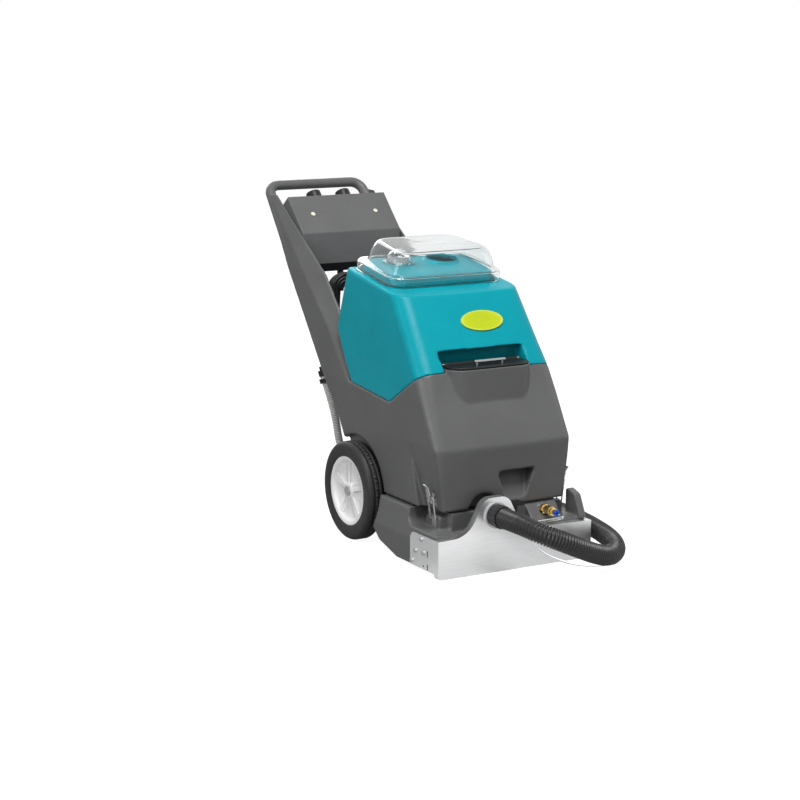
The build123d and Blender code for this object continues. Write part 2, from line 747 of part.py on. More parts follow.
def hollows(grow):
    """Everything that presses into the solution tank from outside."""
    reach = vac_fan_radius + 12 + grow
    bay_z = rear_floor + vac_motor_height + 10 + grow
    parts = wheel_wells(grow)
    parts.append(block((-reach, reach), (vac_motor_y - reach - 12, rear_foot_y - tank_wall - grow),
                       (0, bay_z)))

    # Finger grip in the middle of the front
    low, high = grip_bottom - grow, grip_top + grow
    side = [(-far, low), (front_at(grip_bottom) + grow, low), (front_at(grip_top) + grip_depth + grow, high),
            (-far, high)]
    narrow, wide = grip_half - grip_taper + grow, grip_half + grow
    face = [(grip_x - narrow, low), (grip_x + narrow, low), (grip_x + wide, high), (grip_x - wide, high)]
    parts.append(prism(side, -far, far) & front_prism(face, -far, far, 8))

    # Wedges at both lower front corners, where the latches sit, and the round notch over the hose port
    under, high = split_z - 1, notch_top_z + grow
    floor = [(notch_at(under) - grow, under), (far, under), (far, high), (notch_at(high) - grow, high)]
    back = [(notch_rear_top + grow, high), (notch_rear_foot + grow, under), (-far, under), (-far, high)]
    parts += both_sides(front_prism(floor, -far, far) & prism(back, 0, far))
    notch_rear = front_foot_y + hump_notch_depth + grow
    parts.append(rod_y(-far, notch_rear, hump_x, port_z - 4, hump_notch + grow))
    return parts


# Solution tank: one hollow moulding with wells, grip, latch notches and the filler lip
tank = solution_form(0)
inside = solution_form(tank_wall)
for part in hollows(0):
    tank -= part
for part in hollows(tank_wall):
    inside -= part
lip = [(-lip_half, lip_bottom), (0, lip_bottom - lip_sag), (lip_half, lip_bottom), (lip_half, lip_top),
       (-lip_half, lip_top)]
tank += front_prism(lip, lip_front, lip_rear, [lip_corner, lip_arc, lip_corner, 6, 6])
tank -= inside
mouth_half = lip_half - lip_wall
tank -= block((-mouth_half, mouth_half), (lip_front + lip_wall, flap_pin_y - lip_wall), (mouth_floor, far))
lug_x, lug_end = lip_half - 12.5, lip_half - 6.5
for part in both_sides(block((lug_x, lug_end), (flap_pin_y - 5, flap_pin_y + 5), (lip_top - 2, lip_top + 9))):
    tank += part
flap_pin_z = lip_top + flap_pin_up
for part in both_sides(rod_x(lug_x - 1, lug_end + 2, flap_pin_y, flap_pin_z, flap_pin_radius)):
    tank -= part
tank -= rod_y(rear_foot_y - tank_wall - 2, rear_foot_y + 1, drain_x, drain_z, drain_bore)
pieces["solution_tank"] = tank

# Filler flap on its pin, with a steel pull
pieces["flap_pin"] = rod_x(-lug_end, lug_end, flap_pin_y, flap_pin_z, flap_pin_radius)
flap_low = lip_top + seat_gap
flap_high = flap_low + flap_thick
flap_rear = flap_pin_y - flap_edge_gap
flap = block((2 - lip_half, lip_half - 2), (lip_front + 3, flap_rear), (flap_low, flap_high))
knuckle_x = lug_x - seat_gap
flap += block((-knuckle_x, knuckle_x), (flap_rear - 2, flap_pin_y), (flap_low + 0.4, flap_high))
flap += rod_x(-knuckle_x, knuckle_x, flap_pin_y, flap_pin_z, 4.4)
pieces["filler_flap"] = flap - rod_x(-lug_x, lug_x, flap_pin_y, flap_pin_z, flap_pin_radius + running_fit)
pull = rod_x(-pull_length / 2, pull_length / 2, pull_y, flap_high + pull_rise, 4)
for x in (8 - pull_length / 2, pull_length / 2 - 8):
    pull += pillar(x, pull_y, flap_high, flap_high + pull_rise, 3)
pieces["flap_pull"] = pull

# Rear hinge: lugs and pins on the base, knuckles on the tank
base_hinge = []
tank_hinge = []
for side in (-1, 1):
    at = side * hinge_x
    lugs = rod_x(at - hinge_half - 3, at + hinge_half + 3, hinge_y, hinge_z, hinge_pin_radius)
    for low, high in ((at - hinge_half, at - 14), (at + 14, at + hinge_half)):
        lugs += block((low, high), (base_rear, hinge_y), (base_top - 28, hinge_z))
        lugs += rod_x(low, high, hinge_y, hinge_z, hinge_round)
    base_hinge.append(lugs)
    low, high = at - knuckle_half, at + knuckle_half
    knuckle = rod_x(low, high, hinge_y, hinge_z, hinge_round)
    knuckle += block((low, high), (rear_foot_y, hinge_y), (hinge_z + 2, hinge_z + 9))
    knuckle += block((low, high), (rear_foot_y, rear_foot_y + 5), (hinge_z + 2, hinge_z + 40))
    tank_hinge.append(knuckle - rod_x(low - 6, high + 6, hinge_y, hinge_z, hinge_pin_radius + running_fit))
pieces["base_hinge"] = base_hinge
pieces["tank_hinge"] = tank_hinge

# Latches: a plate, lever and strap on each notch's leaning floor, caught by a keeper on the base
lean = atan(notch_grade)
latch = Plane((notch_at(latch_z), latch_y, latch_z), x_dir=(0, 1, 0), z_dir=(cos(lean), 0, -sin(lean)))
plate = block((-9, 9), (-16, 16), (0, 2)) + rod_x(-8.9, 8.9, 0, pivot_out, latch_pin)
for low, high in ((-8.9, -6.4), (6.4, 8.9)):
    plate += prism([(-5, 1), (5, 1), (4, pivot_out + 4), (-4, pivot_out + 4)], low, high)
lever = rod_x(-6, 6, 0, pivot_out, 4.2) + rod_x(-6, 6, link_up, link_out, 3.2)
lever += prism([(0, pivot_out - 3.5), (link_up, link_out - 3), (link_up, link_out + 3), (0, pivot_out + 4)],
               -6, 6)
lever += prism([(-1, 15.5), (12, 14.5), (33, 17), (44, 23.5), (43, 25.5), (32, 20), (12, 17.8), (0, 17.6)],
               -6, 6)
lever -= rod_x(-10, 10, 0, pivot_out, latch_pin + running_fit)
lever += rod_x(-13.5, 13.5, link_up, link_out, link_pin)
strap_z = (link_out - 1, link_out + 1)
strap = block((-13, 13), (-strap_reach, strap_bar - strap_reach), strap_z)
for low, high in ((-13, -10), (10, 13)):
    strap += block((low, high), (-strap_reach, link_up), strap_z) + rod_x(low, high, link_up, link_out, 3.2)
strap -= rod_x(-15, 15, link_up, link_out, link_pin + running_fit)
catch_x = latch.from_local_coords(Vector(0, -strap_reach, strap_z[0])).X - strap_gap
catch_z = latch.from_local_coords(Vector(0, strap_bar - strap_reach, strap_z[0])).Z + strap_gap
keeper_low, keeper_high = pocket_floor + 5, pocket_floor + boss_height - 3
keeper = prism([(latch_y - 12, keeper_low), (latch_y + 12, keeper_low), (latch_y + 9, keeper_high),
                (latch_y - 9, keeper_high)], boss_outer, boss_outer + keeper_thick, 3)
keeper += block((boss_outer + 1, catch_x), (latch_y - 7, latch_y + 7), (catch_z, catch_z + 3))
pieces["latch_keepers"] = both_sides(keeper)
pieces["latch_plates"] = both_sides(latch * plate)
for name, shape in (("lever", lever), ("strap", strap)):
    right, left = both_sides(latch * shape)
    pieces["right_" + name] = right
    pieces["left_" + name] = left


def arm_ring(z, outer, rear, ridge, front, front_thick):
    """A level section of the right handle arm: thin in front, full at the rear."""
    corners = [(arm_inner, front), (arm_inner + front_thick, front), (outer, ridge), (outer, rear),
               (arm_inner, rear)]
    thick = outer - arm_inner
    radii = [0, 0, 2, min(rear_round, 0.4 * thick), thick / 8]
    return Pos(0, 0, z) * make_face(FilletPolyline(*corners, radius=radii, close=True))


# Handle frame: two leaning arms and the bent tube that joins them and shows as their rear edge at the top
arm_top_z = machine_height - arm_top_drop
handle_y, handle_z = handle_back - handle_radius, machine_height - handle_radius
rear_grade = (handle_back - 10 - shelf_rear_y) / (arm_top_z - shelf_z)
half_grade = (arm_top_half - tank_half) / (arm_top_z - shelf_z)
mid_half, upper_half = [tank_half + half_grade * (z - shelf_z) for z in (arm_mid_z, arm_upper_z)]
mid_rear, upper_rear = [shelf_rear_y + rear_grade * (z - shelf_z) for z in (arm_mid_z, arm_upper_z)]
top_rear = handle_y - (handle_z - arm_top_z) * rear_grade
rings = [arm_ring(shelf_z, tank_half, shelf_rear_y, cradle_rear_y + 8, cradle_rear_y + 2, 40),
         arm_ring(arm_mid_z, mid_half, mid_rear, bulge_y + 52, bulge_y + 5, 8),
         arm_ring(arm_upper_z, upper_half, upper_rear, upper_rear - 100, arm_upper_front, 6),
         arm_ring(arm_top_z, arm_top_half - 3, top_rear, top_rear - 20, top_rear - 56, 2)]
arm = loft(rings, ruled=True)
low_y = handle_y - (handle_z - handle_low_z) * rear_grade
low_half = tank_half + half_grade * (handle_low_z - shelf_z)
top_x, low_x = arm_top_half - handle_radius - 1.5, low_half - handle_radius
handle_path = FilletPolyline((low_x, low_y, handle_low_z), (top_x, handle_y, handle_z),
                             (-top_x, handle_y, handle_z), (-low_x, low_y, handle_low_z),
                             radius=handle_corner)
frame = sweep((handle_path ^ 0) * Circle(handle_radius), path=handle_path)
for part in both_sides(arm):
    frame += part
pieces["handle_frame"] = frame

# Control console: a folded shell between the arms, closed below by a black tray
console_half = arm_inner - 0.5
outline = [console_top, console_fold, console_foot, console_back_foot, console_crown]
shell_face = make_face(Polyline(*outline, close=True))
core_face = offset(shell_face, -console_wall, kind=Kind.INTERSECTION)
console = extrude(Plane.YZ * shell_face, console_half, both=True)
console -= extrude(Plane.YZ * core_face, console_half - console_wall, both=True)
console -= block((12 - console_half, console_half - 12), (console_foot[0] + 8, console_back_foot[0] - 4),
                 (console_foot[1] - 5, console_foot[1] + 8))
fold_run = Vector(0, console_top[0] - console_fold[0], console_top[1] - console_fold[1]).normalized()
fold_out = Vector(0, -fold_run.Z, fold_run.Y)
fold_mid = Vector(0, (console_top[0] + console_fold[0]) / 2, (console_top[1] + console_fold[1]) / 2)
knob_mid = Vector(0, (console_top[0] + console_crown[0]) / 2, (console_top[1] + console_crown[1]) / 2)
knob_out = Vector(0, console_top[1] - console_crown[1], console_crown[0] - console_top[0]).normalized()
knobs = []
for x in (-knob_x, knob_x):
    seat = Plane(knob_mid + Vector(x, 0, 0), x_dir=(1, 0, 0), z_dir=knob_out)
    console -= seat * Pos(0, 0, -8) * Cylinder(knob_shaft + running_fit, 16)
    knob = Pos(0, 0, seat_gap) * Cylinder(knob_radius, 6, align=BASE)
    knob += Pos(0, 0, 6) * Cone(knob_radius - 2, knob_radius - 4, knob_height - 6, align=BASE)
    knob += Pos(0, knob_radius / 2 - 2, knob_height) * Box(5, knob_radius - 6, 3)
    knobs.append(seat * (knob + Pos(0, 0, -10) * Cylinder(knob_shaft, 12, align=BASE)))
pieces["left_knob"], pieces["right_knob"] = knobs
screws = []
for x in (-screw_x, screw_x):
    spot = fold_mid + Vector(x, 0, 0)
    console -= rod(spot + fold_out, spot - fold_out * 10, 2.5)
    shank = rod(spot - fold_out * 9, spot + fold_out, 2.5 - running_fit)
    screws.append(shank + rod(spot, spot + fold_out * 2.5, 6))
pieces["console"] = console - frame
pieces["console_screws"] = screws
foot_y, back_y, foot_z = console_foot[0], console_back_foot[0], console_foot[1]
tray = prism([console_foot, console_back_foot, (back_y - 20, console_tray_z), (foot_y + 4, console_tray_z)],
             -console_half, console_half)
tray -= prism([(foot_y + 8, foot_z + 5), (back_y - 8, foot_z + 5), (back_y - 26, console_tray_z + 4),
               (foot_y + 9, console_tray_z + 4)], 4 - console_half, console_half - 4)
gland_y = foot_y + 18
tray -= pillar(gland_x, gland_y, console_tray_z - 1, console_tray_z + 8, 8 + running_fit)
pieces["console_tray"] = tray - frame

# Saddle hook for the power cord, hung from the tray
hank_y = foot_y - 12
hank_top_z = console_tray_z - 48
hank_bottom_z = hank_top_z - hank_drop
saddle = hank_inner - cord_radius - 2 * seat_gap
hook_back, hook_front = foot_y + 15, foot_y - 36
hook = rod_y(hook_front, hook_back, hank_x, hank_top_z, saddle)
hook += rod_y(hook_front, hook_front + 4, hank_x, hank_top_z, hank_inner + 2)
hook -= rod_y(hook_front - 1, hook_back + 1, hank_x, hank_top_z, saddle - 4)
hook -= block((-far, far), (-far, far), (0, hank_top_z - 2))
pieces["cord_hook"] = hook + block((hank_x - 8, hank_x + 8), (hook_back - 6, hook_back),
                                   (hank_top_z + saddle - 4, console_tray_z))
gland_end = console_tray_z - 24
gland = pillar(gland_x, gland_y, console_tray_z - 1, console_tray_z + 6, 8)
gland += pillar(gland_x, gland_y, console_tray_z - 7, console_tray_z, 11)
gland += Pos(gland_x, gland_y, gland_end) * Cone(cord_radius + 2, 8, 17, align=BASE)
pieces["cord_gland"] = gland

# Power cord: a lead from the gland, a hank of flat spirals in layers, and a tail to the plug
outer_turn = hank_inner + (hank_loops - 1) * cord_pitch
layer_y = [hank_y + cord_pitch * ((hank_layers - 1) / 2 - layer) for layer in range(hank_layers)]
here = Vector(hank_x + outer_turn, layer_y[0], hank_bottom_z)
lead, lead_least = route([(gland_x, gland_y, gland_end), (gland_x, gland_y, gland_end - 34),
                          (gland_x - 13, gland_y - 5, gland_end - 66),
                          (gland_x - 36, gland_y - 13, gland_end - 94),
                          (here.X, here.Y, gland_end - 136), tuple(here)])
edges = list(lead.edges())


def half_turn(start, reach, up):
    """Half a turn of the hank from one side to the other, over the top or under the bottom."""
    middle = start + Vector(reach / 2, 0, abs(reach) / 2 * up)
    end = start + Vector(reach, 0, 0)
    edges.append(ThreePointArc(start, middle, end).edge())
    return end


def side_run(start, up, y):
    """A straight side of the hank, easing over to another layer where y changes."""
    end = Vector(start.X, y, hank_top_z if up > 0 else hank_bottom_z)
    if abs(y - start.Y) < 0.001:
        edges.append(Line(start, end).edge())
        return end
    first = TangentArc(start, (start + end) / 2, tangent=(0, 0, up)).edge()
    edges.append(first)
    edges.append(TangentArc((start + end) / 2, end, tangent=first % 1).edge())
    return end


for layer in range(0, hank_layers, 2):
    for loop in range(hank_loops):
        turn = outer_turn - cord_pitch * loop
        last = loop == hank_loops - 1
        here = half_turn(here, -2 * turn, -1)
        here = side_run(here, 1, layer_y[layer + 1] if last else here.Y)
        here = half_turn(here, 2 * turn - (0 if last else cord_pitch), 1)
        here = side_run(here, -1, here.Y)
    for loop in range(1, hank_loops):
        turn = hank_inner + cord_pitch * loop
        here = half_turn(here, cord_pitch - 2 * turn, -1)
        here = side_run(here, 1, here.Y)
        here = half_turn(here, 2 * turn, 1)
        onward = loop == hank_loops - 1 and layer + 2 < hank_layers
        here = side_run(here, -1, layer_y[layer + 2] if onward else here.Y)
tail_end = here + Vector(12, -7, -106)
tail, tail_least = route([tuple(here), tuple(here + Vector(0, 0, -38)), tuple(here + Vector(6, -3, -70)),
                          tuple(tail_end)])
edges += tail.edges()
cord_line = Wire(edges)
power_cord = sweep((cord_line ^ 0) * Circle(cord_radius), path=cord_line)
ratio = power_cord.volume / (pi * cord_radius**2 * cord_line.length)
steps = int(cord_line.length / 6)
spots = [cord_line @ (step / steps) for step in range(steps + 1)]
least = min((one - two).length for at, one in enumerate(spots) for two in spots[at + 8:])
print(f"power_cord: length {cord_line.length:.0f}, lead radius {lead_least:.0f}, "
      f"tail radius {tail_least:.0f}, least gap {least - 2 * cord_radius:.2f}, volume ratio {ratio:.4f}")
pieces["power_cord"] = power_cord
down = (tail % 1).normalized()
plug = rod(tail_end, tail_end + down * 14, 7) + rod(tail_end + down * 14, tail_end + down * 44, 15)
prongs = Plane(tail_end + down * 44, x_dir=(1, 0, 0), z_dir=down)
for x in (-6.5, 6.5):
    plug += prongs * Pos(x, 0, 0) * Box(1.6, 6.4, 18, align=BASE)
pieces["plug"] = plug + prongs * Pos(0, 7, 0) * Cylinder(2.4, 21, align=BASE)

# Drain hose: a spigot low on the tank's rear, a ribbed hose that hangs behind it up to a clip, and its plug
spigot_end = rear_foot_y + 11
spigot = rod_y(rear_foot_y, spigot_end, drain_x, drain_z, drain_root)
spigot += rod_y(rear_foot_y, rear_foot_y + 3, drain_x, drain_z, 15)
pieces["drain_spigot"] = spigot - rod_y(rear_foot_y - 1, spigot_end + 1, drain_x, drain_z, drain_bore - 2)
drain_route = [(drain_x, spigot_end, drain_z), (drain_x, 46, drain_z), (drain_x - 1, 82, 185),
               (-149, 102, 222), (-152, 107, 262), (-158, 112, 300), (-166, 116, 334), (-173, 121, 362),
               (-178, 128, 388)]
pieces["drain_hose"] = ribbed("drain_hose", drain_route, drain_radius, drain_root, drain_bore, drain_pitch,
                              (1, 0, 0))
drain_end = Vector(*drain_route[-1])
drain_way = (drain_end - Vector(*drain_route[-2])).normalized()
drain_plug = rod(drain_end, drain_end + drain_way * 16, drain_radius + 1)
drain_plug += rod(drain_end - drain_way * 8, drain_end, drain_bore - shank_gap)
pieces["drain_plug"] = drain_plug + rod(drain_end + drain_way * 16, drain_end + drain_way * 26, 6)
clip_mid = drain_end - drain_way * 12
clip = rod(clip_mid - drain_way * 6, clip_mid + drain_way * 6, drain_radius + 4)
clip += rod(clip_mid, clip_mid + Vector(0, -drain_way.Z, drain_way.Y) * 40, 5.9)
clip -= rod(clip_mid - drain_way * 20, clip_mid + drain_way * 30, drain_radius + shank_gap)
pieces["hose_clip"] = (clip - solution_form(0)).solids().sort_by(Axis.Y)[-1]


def deck_z(y):
    """The height of the recovery tank's sloping deck."""
    return deck_rear_z + deck_slope * y


def recovery_form(inset):
    """The recovery tank's outside, or its inside when inset by the wall."""
    low_z, top_z = vee_z - 8, deck_rear_z + 30
    top_half = bulge_half + (deck_half - bulge_half) * (top_z - bulge_z) / (deck_rear_z - bulge_z)
    grade_low = (bulge_y - cradle_rear_y) / (bulge_z - shelf_z)
    rings = []
    for z, half_x, bow in ((low_z, joint_half + 3, bow_joint), (joint_z, joint_half, bow_joint),
                           (bulge_z, bulge_half, bow_deck), (top_z, top_half, bow_deck)):
        rear = bulge_y + (z - bulge_z) * (grade_low if z < bulge_z else -rear_lean)
        front = joint_y + (z - joint_z) * front_slope
        rings.append(rounded_section(half_x - inset, front + inset * 1.25, rear - inset, z,
                                     corner_joint - inset, rear_round - inset, bow))
    low = seat_gap + 1.25 * inset
    under = [(y, z + low) for y, z in cradle] + [(far, 0), (-far, 0)]
    drop = 1.02 * inset
    over = [(-far, deck_z(-far) - drop), (far, deck_z(far) - drop), (far, 2 * far), (-far, 2 * far)]
    return loft(rings, ruled=True) - prism(under, -far, far) - prism(over, -far, far)


def deck_plate(half_x, half_y, corner):
    """A rounded oblong in the deck's own plane, round the lid's middle."""
    return make_face(RectangleRounded(2 * half_x, 2 * half_y, corner).wire())


# Recovery tank: a hollow teal moulding in the tank's cradle, with a raised neck and a round port on its deck
deck_tilt = atan(deck_slope)
deck = Plane((0, lid_y, deck_z(lid_y)), x_dir=(1, 0, 0), z_dir=(0, -sin(deck_tilt), cos(deck_tilt)))
recess = block((-recess_half, recess_half), (-far, recess_rear), (300, recess_top))
recess_in = block((-recess_half - shell_wall, recess_half + shell_wall), (-far, recess_rear + shell_wall),
                  (300, recess_top + shell_wall))
neck_x, neck_y = lid_half_x - neck_inset, lid_half_y - neck_inset
recovery = recovery_form(0) - recess
recovery += deck * Pos(0, 0, -2) * extrude(deck_plate(neck_x, neck_y, neck_round), neck_height + 2)
recovery -= recovery_form(shell_wall) - recess_in
neck_hole = deck_plate(neck_x - shell_wall, neck_y - shell_wall, neck_round - shell_wall)
recovery -= deck * Pos(0, 0, -shell_wall - 2) * extrude(neck_hole, neck_height + 2)
port_at = (port_y - lid_y) / cos(deck_tilt)
bubble_at = (bubble_y - lid_y) / cos(deck_tilt)
port_ring = Cylinder(port_radius + 4, shell_wall + 8, align=BASE)
recovery += deck * Pos(port_x, port_at, neck_height - shell_wall) * port_ring
recovery -= deck * Pos(port_x, port_at, 0) * Cylinder(port_radius, 2 * neck_height, align=BASE)
pipe_foot = deck_z(bubble_y) - 10
recovery -= pillar(bubble_x, bubble_y, pipe_foot, far, pipe_radius + shank_gap)
pieces["recovery_tank"] = recovery
face_tilt = atan(front_slope)
badge_y = joint_y + (badge_z - joint_z) * front_slope - bow_deck
badge_plane = Plane((badge_x, badge_y, badge_z), x_dir=(1, 0, 0), z_dir=(0, -cos(face_tilt), sin(face_tilt)))
badge = badge_plane * Ellipse(badge_long / 2, badge_short / 2)
pieces["badge_plate"] = extrude(badge, badge_thick, both=True) - recovery_form(0)

# Stand pipes inside the tank, the float's cage, and the clear deflector over the inlet
floor_in = shelf_z + shell_wall + 8
pipe_top = deck_z(bubble_y) + neck_height + 14
pipe = pillar(bubble_x, bubble_y, floor_in, pipe_top, pipe_radius)
pipe -= pillar(bubble_x, bubble_y, floor_in - 1, far, pipe_radius - 3)
stand = pillar(float_x, float_y, floor_in, cage_z, stand_radius)
stand -= pillar(float_x, float_y, floor_in, cage_z, stand_radius - 5)
stand += block((bubble_x + pipe_radius - 2, float_x - stand_radius + 2), (float_y - 12, float_y + 12),
               (floor_in + 20, floor_in + 30))
cage_top = cage_z + 2 * float_radius + float_travel + 2
post = stand_radius + seat_gap
for step in range(4):
    angle = pi / 4 + step * pi / 2
    stand += pillar(float_x + post * cos(angle), float_y + post * sin(angle), cage_z - 8, cage_top + 2, 2)
ring = pillar(float_x, float_y, cage_top, cage_top + 4, stand_radius + 3)
pieces["stand_pipes"] = pipe + stand + (ring - pillar(float_x, float_y, cage_top, cage_top + 4, 10))
pieces["float_ball"] = Pos(float_x, float_y, cage_z + float_radius - 5.5) * Sphere(float_radius)
bubble = Sphere(bubble_radius) & Pos(0, 0, 3) * Cylinder(far, far, align=BASE)
bubble += Cylinder(bubble_radius + 8, 3.5, align=BASE)
bubble -= Sphere(bubble_radius - 2.5)
pieces["deflector_dome"] = deck * Pos(bubble_x, bubble_at, neck_height) * bubble


def dome_ring(step_in, share, inset):
    """A ring of the dome: wider in front than behind, and tipped as its two ends rise."""
    front = inset + 0.8 * step_in - lid_half_y + dome_inset
    rear = lid_half_y - dome_inset - 0.5 * step_in - inset
    front_z = lid_skirt + share * (dome_front_rise - inset)
    rear_z = lid_skirt + share * (dome_rear_rise - inset)
    run = hypot(rear - front, rear_z - front_z)
    tip = Plane((0, front, front_z), x_dir=(1, 0, 0), z_dir=(0, front_z - rear_z, rear - front))
    wide, narrow = dome_front_half - step_in - inset, dome_rear_half - step_in - inset
    corners = [(-wide, 0), (wide, 0), (narrow, run), (-narrow, run)]
    return tip * make_face(FilletPolyline(*corners, radius=dome_round - step_in / 4 - inset, close=True))


def dome_form(inset):
    """The dome's outside, or its inside when inset by the wall."""
    rings = [dome_ring(step_in, share, inset) for step_in, share in ((0, 0), (4, 0.5), (11, 0.84), (24, 1))]
    return loft(rings, ruled=True)


# Clear dome lid with a deep skirt round the neck, standing on a soft seal
lid = extrude(Pos(0, 0, seal_thick) * deck_plate(lid_half_x, lid_half_y, lid_round), lid_skirt - seal_thick)
lid += dome_form(0)
skirt_hole = deck_plate(lid_half_x - skirt_wall, lid_half_y - skirt_wall, lid_round - skirt_wall)
lid -= extrude(skirt_hole, lid_skirt - lid_wall)
lid -= dome_form(lid_wall)
lid -= Pos(0, 0, -8) * extrude(dome_ring(0, 0, lid_wall), 9)
pieces["dome_lid"] = deck * lid
seal = extrude(deck_plate(lid_half_x - 1, lid_half_y - 1, lid_round - 1), seal_thick)
seal -= extrude(deck_plate(neck_x + seat_gap, neck_y + seat_gap, neck_round + seat_gap), seal_thick)
pieces["lid_seal"] = deck * seal

# One STEP file for each piece
for name, shape in pieces.items():
    solids = [solid for part in (shape if isinstance(shape, list) else [shape]) for solid in part.solids()]
    export_step(Compound(solids), f"parts/{name}.step")
print(len(pieces), "pieces")
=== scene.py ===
import json
from math import ceil, cos, pi, radians, sin

import bmesh
import bpy
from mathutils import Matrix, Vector

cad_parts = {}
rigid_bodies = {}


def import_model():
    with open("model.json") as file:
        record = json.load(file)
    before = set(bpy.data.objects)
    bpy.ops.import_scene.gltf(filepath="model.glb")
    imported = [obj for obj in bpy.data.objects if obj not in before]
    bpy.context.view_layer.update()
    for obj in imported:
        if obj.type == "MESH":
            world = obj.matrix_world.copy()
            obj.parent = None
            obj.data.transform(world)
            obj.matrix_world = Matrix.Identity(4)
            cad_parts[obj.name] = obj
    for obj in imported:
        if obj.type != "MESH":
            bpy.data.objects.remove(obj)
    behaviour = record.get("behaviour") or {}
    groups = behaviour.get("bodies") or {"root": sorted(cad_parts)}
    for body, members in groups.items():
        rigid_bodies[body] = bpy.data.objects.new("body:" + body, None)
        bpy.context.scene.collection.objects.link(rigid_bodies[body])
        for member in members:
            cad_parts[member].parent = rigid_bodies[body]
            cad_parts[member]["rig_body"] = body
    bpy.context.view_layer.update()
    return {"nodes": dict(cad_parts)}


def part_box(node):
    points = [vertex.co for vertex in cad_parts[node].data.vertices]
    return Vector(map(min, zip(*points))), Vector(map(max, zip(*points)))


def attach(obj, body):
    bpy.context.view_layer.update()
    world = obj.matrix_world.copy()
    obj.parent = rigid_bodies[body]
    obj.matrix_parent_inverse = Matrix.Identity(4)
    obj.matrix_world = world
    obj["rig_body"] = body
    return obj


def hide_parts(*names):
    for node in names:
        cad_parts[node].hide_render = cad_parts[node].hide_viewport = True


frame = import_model()

# Base housing: the lower tub of the machine, rotationally moulded in grey polyethylene. Its edges are
# soft, as the powder leaves them in the mould, and its skin has the faint grain of the tool.

grey = (0.100, 0.101, 0.102)
mix_first, mix_second, mix_result = 6, 7, 2  # a Mix node's colour sockets, which no name tells apart
surface_outputs = [("Colour", "Color"), ("Roughness", "Float"), ("Height", "Float")]


def feed(tree, node, entries):
    """Sets a node's inputs, each to a plain value or to an output, which is a pair of node and name."""
    for entry, value in entries.items():
        if isinstance(value, tuple) and isinstance(value[0], bpy.types.Node):
            source, output = value
            tree.links.new(source.outputs[output], node.inputs[entry])
        else:
            node.inputs[entry].default_value = value


def added(tree, kind, entries=None, **traits):
    """A new node in a tree, with its traits and then its inputs."""
    node = tree.nodes.new(kind)
    for trait, value in traits.items():
        setattr(node, trait, value)
    feed(tree, node, entries or {})
    return node


def group_sockets(group, inputs, outputs):
    """Gives a node group its named inputs, with their values, and its named outputs."""
    for name, kind, value in inputs:
        socket = group.interface.new_socket(name, in_out="INPUT", socket_type="NodeSocket" + kind)
        socket.default_value = value
    for name, kind in outputs:
        group.interface.new_socket(name, in_out="OUTPUT", socket_type="NodeSocket" + kind)
    return group.nodes.new("NodeGroupInput"), group.nodes.new("NodeGroupOutput")


def on_piece(tree):
    """The place on a piece, in the machine's own frame."""
    return added(tree, "ShaderNodeTexCoord"), "Object"


def noise(tree, spot, scale, detail):
    """A noise over the piece, in cells for each metre."""
    return added(tree, "ShaderNodeTexNoise", {"Vector": spot, "Scale": scale, "Detail": detail})


def spread(tree, texture, low, high):
    """Turns the middle range of a noise into values between low and high."""
    limits = {"From Min": 0.3, "From Max": 0.7, "To Min": low, "To Max": high}
    return added(tree, "ShaderNodeMapRange", {"Value": (texture, "Fac"), **limits}), "Result"


def maths(tree, operation, first, second=0):
    """The result of one sum with two values, each a plain number or an output."""
    return added(tree, "ShaderNodeMath", {0: first, 1: second}, operation=operation), "Value"


def tinted(tree, colour, shade):
    """Multiplies a colour by a brightness that changes over the surface."""
    node = added(tree, "ShaderNodeMix", {"Factor": 1, mix_first: colour, mix_second: shade},
                 data_type="RGBA", blend_type="MULTIPLY")
    return node, mix_result


def moulded_skin():
    """The skin that every moulded piece shares: cloudy colour, fine grain and uneven gloss."""
    group = bpy.data.node_groups.new("moulded_skin", "ShaderNodeTree")
    start, end = group_sockets(
        group,
        [("Colour", "Color", (0.5, 0.5, 0.5, 1)), ("Roughness", "Float", 0.45), ("Grain", "Float", 700)],
        surface_outputs)
    spot = on_piece(group)
    cloud = spread(group, noise(group, spot, scale=9, detail=2), low=0.94, high=1.05)
    fleck = spread(group, noise(group, spot, scale=240, detail=2), low=0.96, high=1.04)
    uneven = spread(group, noise(group, spot, scale=45, detail=3), low=-0.05, high=0.05)
    grain = noise(group, spot, scale=(start, "Grain"), detail=1)
    feed(group, end, {
        "Colour": tinted(group, (start, "Colour"), maths(group, "MULTIPLY", cloud, fleck)),
        "Roughness": maths(group, "ADD", (start, "Roughness"), uneven),
        "Height": (grain, "Fac")})
    return group


skin = moulded_skin()


def principled(name):
    """A new material, its tree and its shader."""
    material = bpy.data.materials.new(name)
    material.use_nodes = True
    tree = material.node_tree
    return material, tree, tree.nodes["Principled BSDF"]


def surfaced(name, group, values, relief, depth):
    """A new material and its shader, with colour, gloss and relief from a shared group."""
    material, tree, shader = principled(name)
    surface = added(tree, "ShaderNodeGroup", values, node_tree=group)
    bump = added(tree, "ShaderNodeBump",
                 {"Strength": relief, "Distance": depth, "Height": (surface, "Height")})
    feed(tree, shader, {"Base Color": (surface, "Colour"), "Roughness": (surface, "Roughness"),
                        "Normal": (bump, "Normal")})
    return material, shader


def skinned(name, colour, roughness, grain=700, relief=0.25, shine=0.35):
    """A moulded plastic or rubber with the shared skin."""
    values = {"Colour": (*colour, 1), "Roughness": roughness, "Grain": grain}
    material, shader = surfaced(name, skin, values, relief, depth=0.0003)
    shader.inputs["Specular IOR Level"].default_value = shine
    return material


def placed(name, data):
    """A new object in the scene."""
    piece = bpy.data.objects.new(name, data)
    bpy.context.scene.collection.objects.link(piece)
    return piece


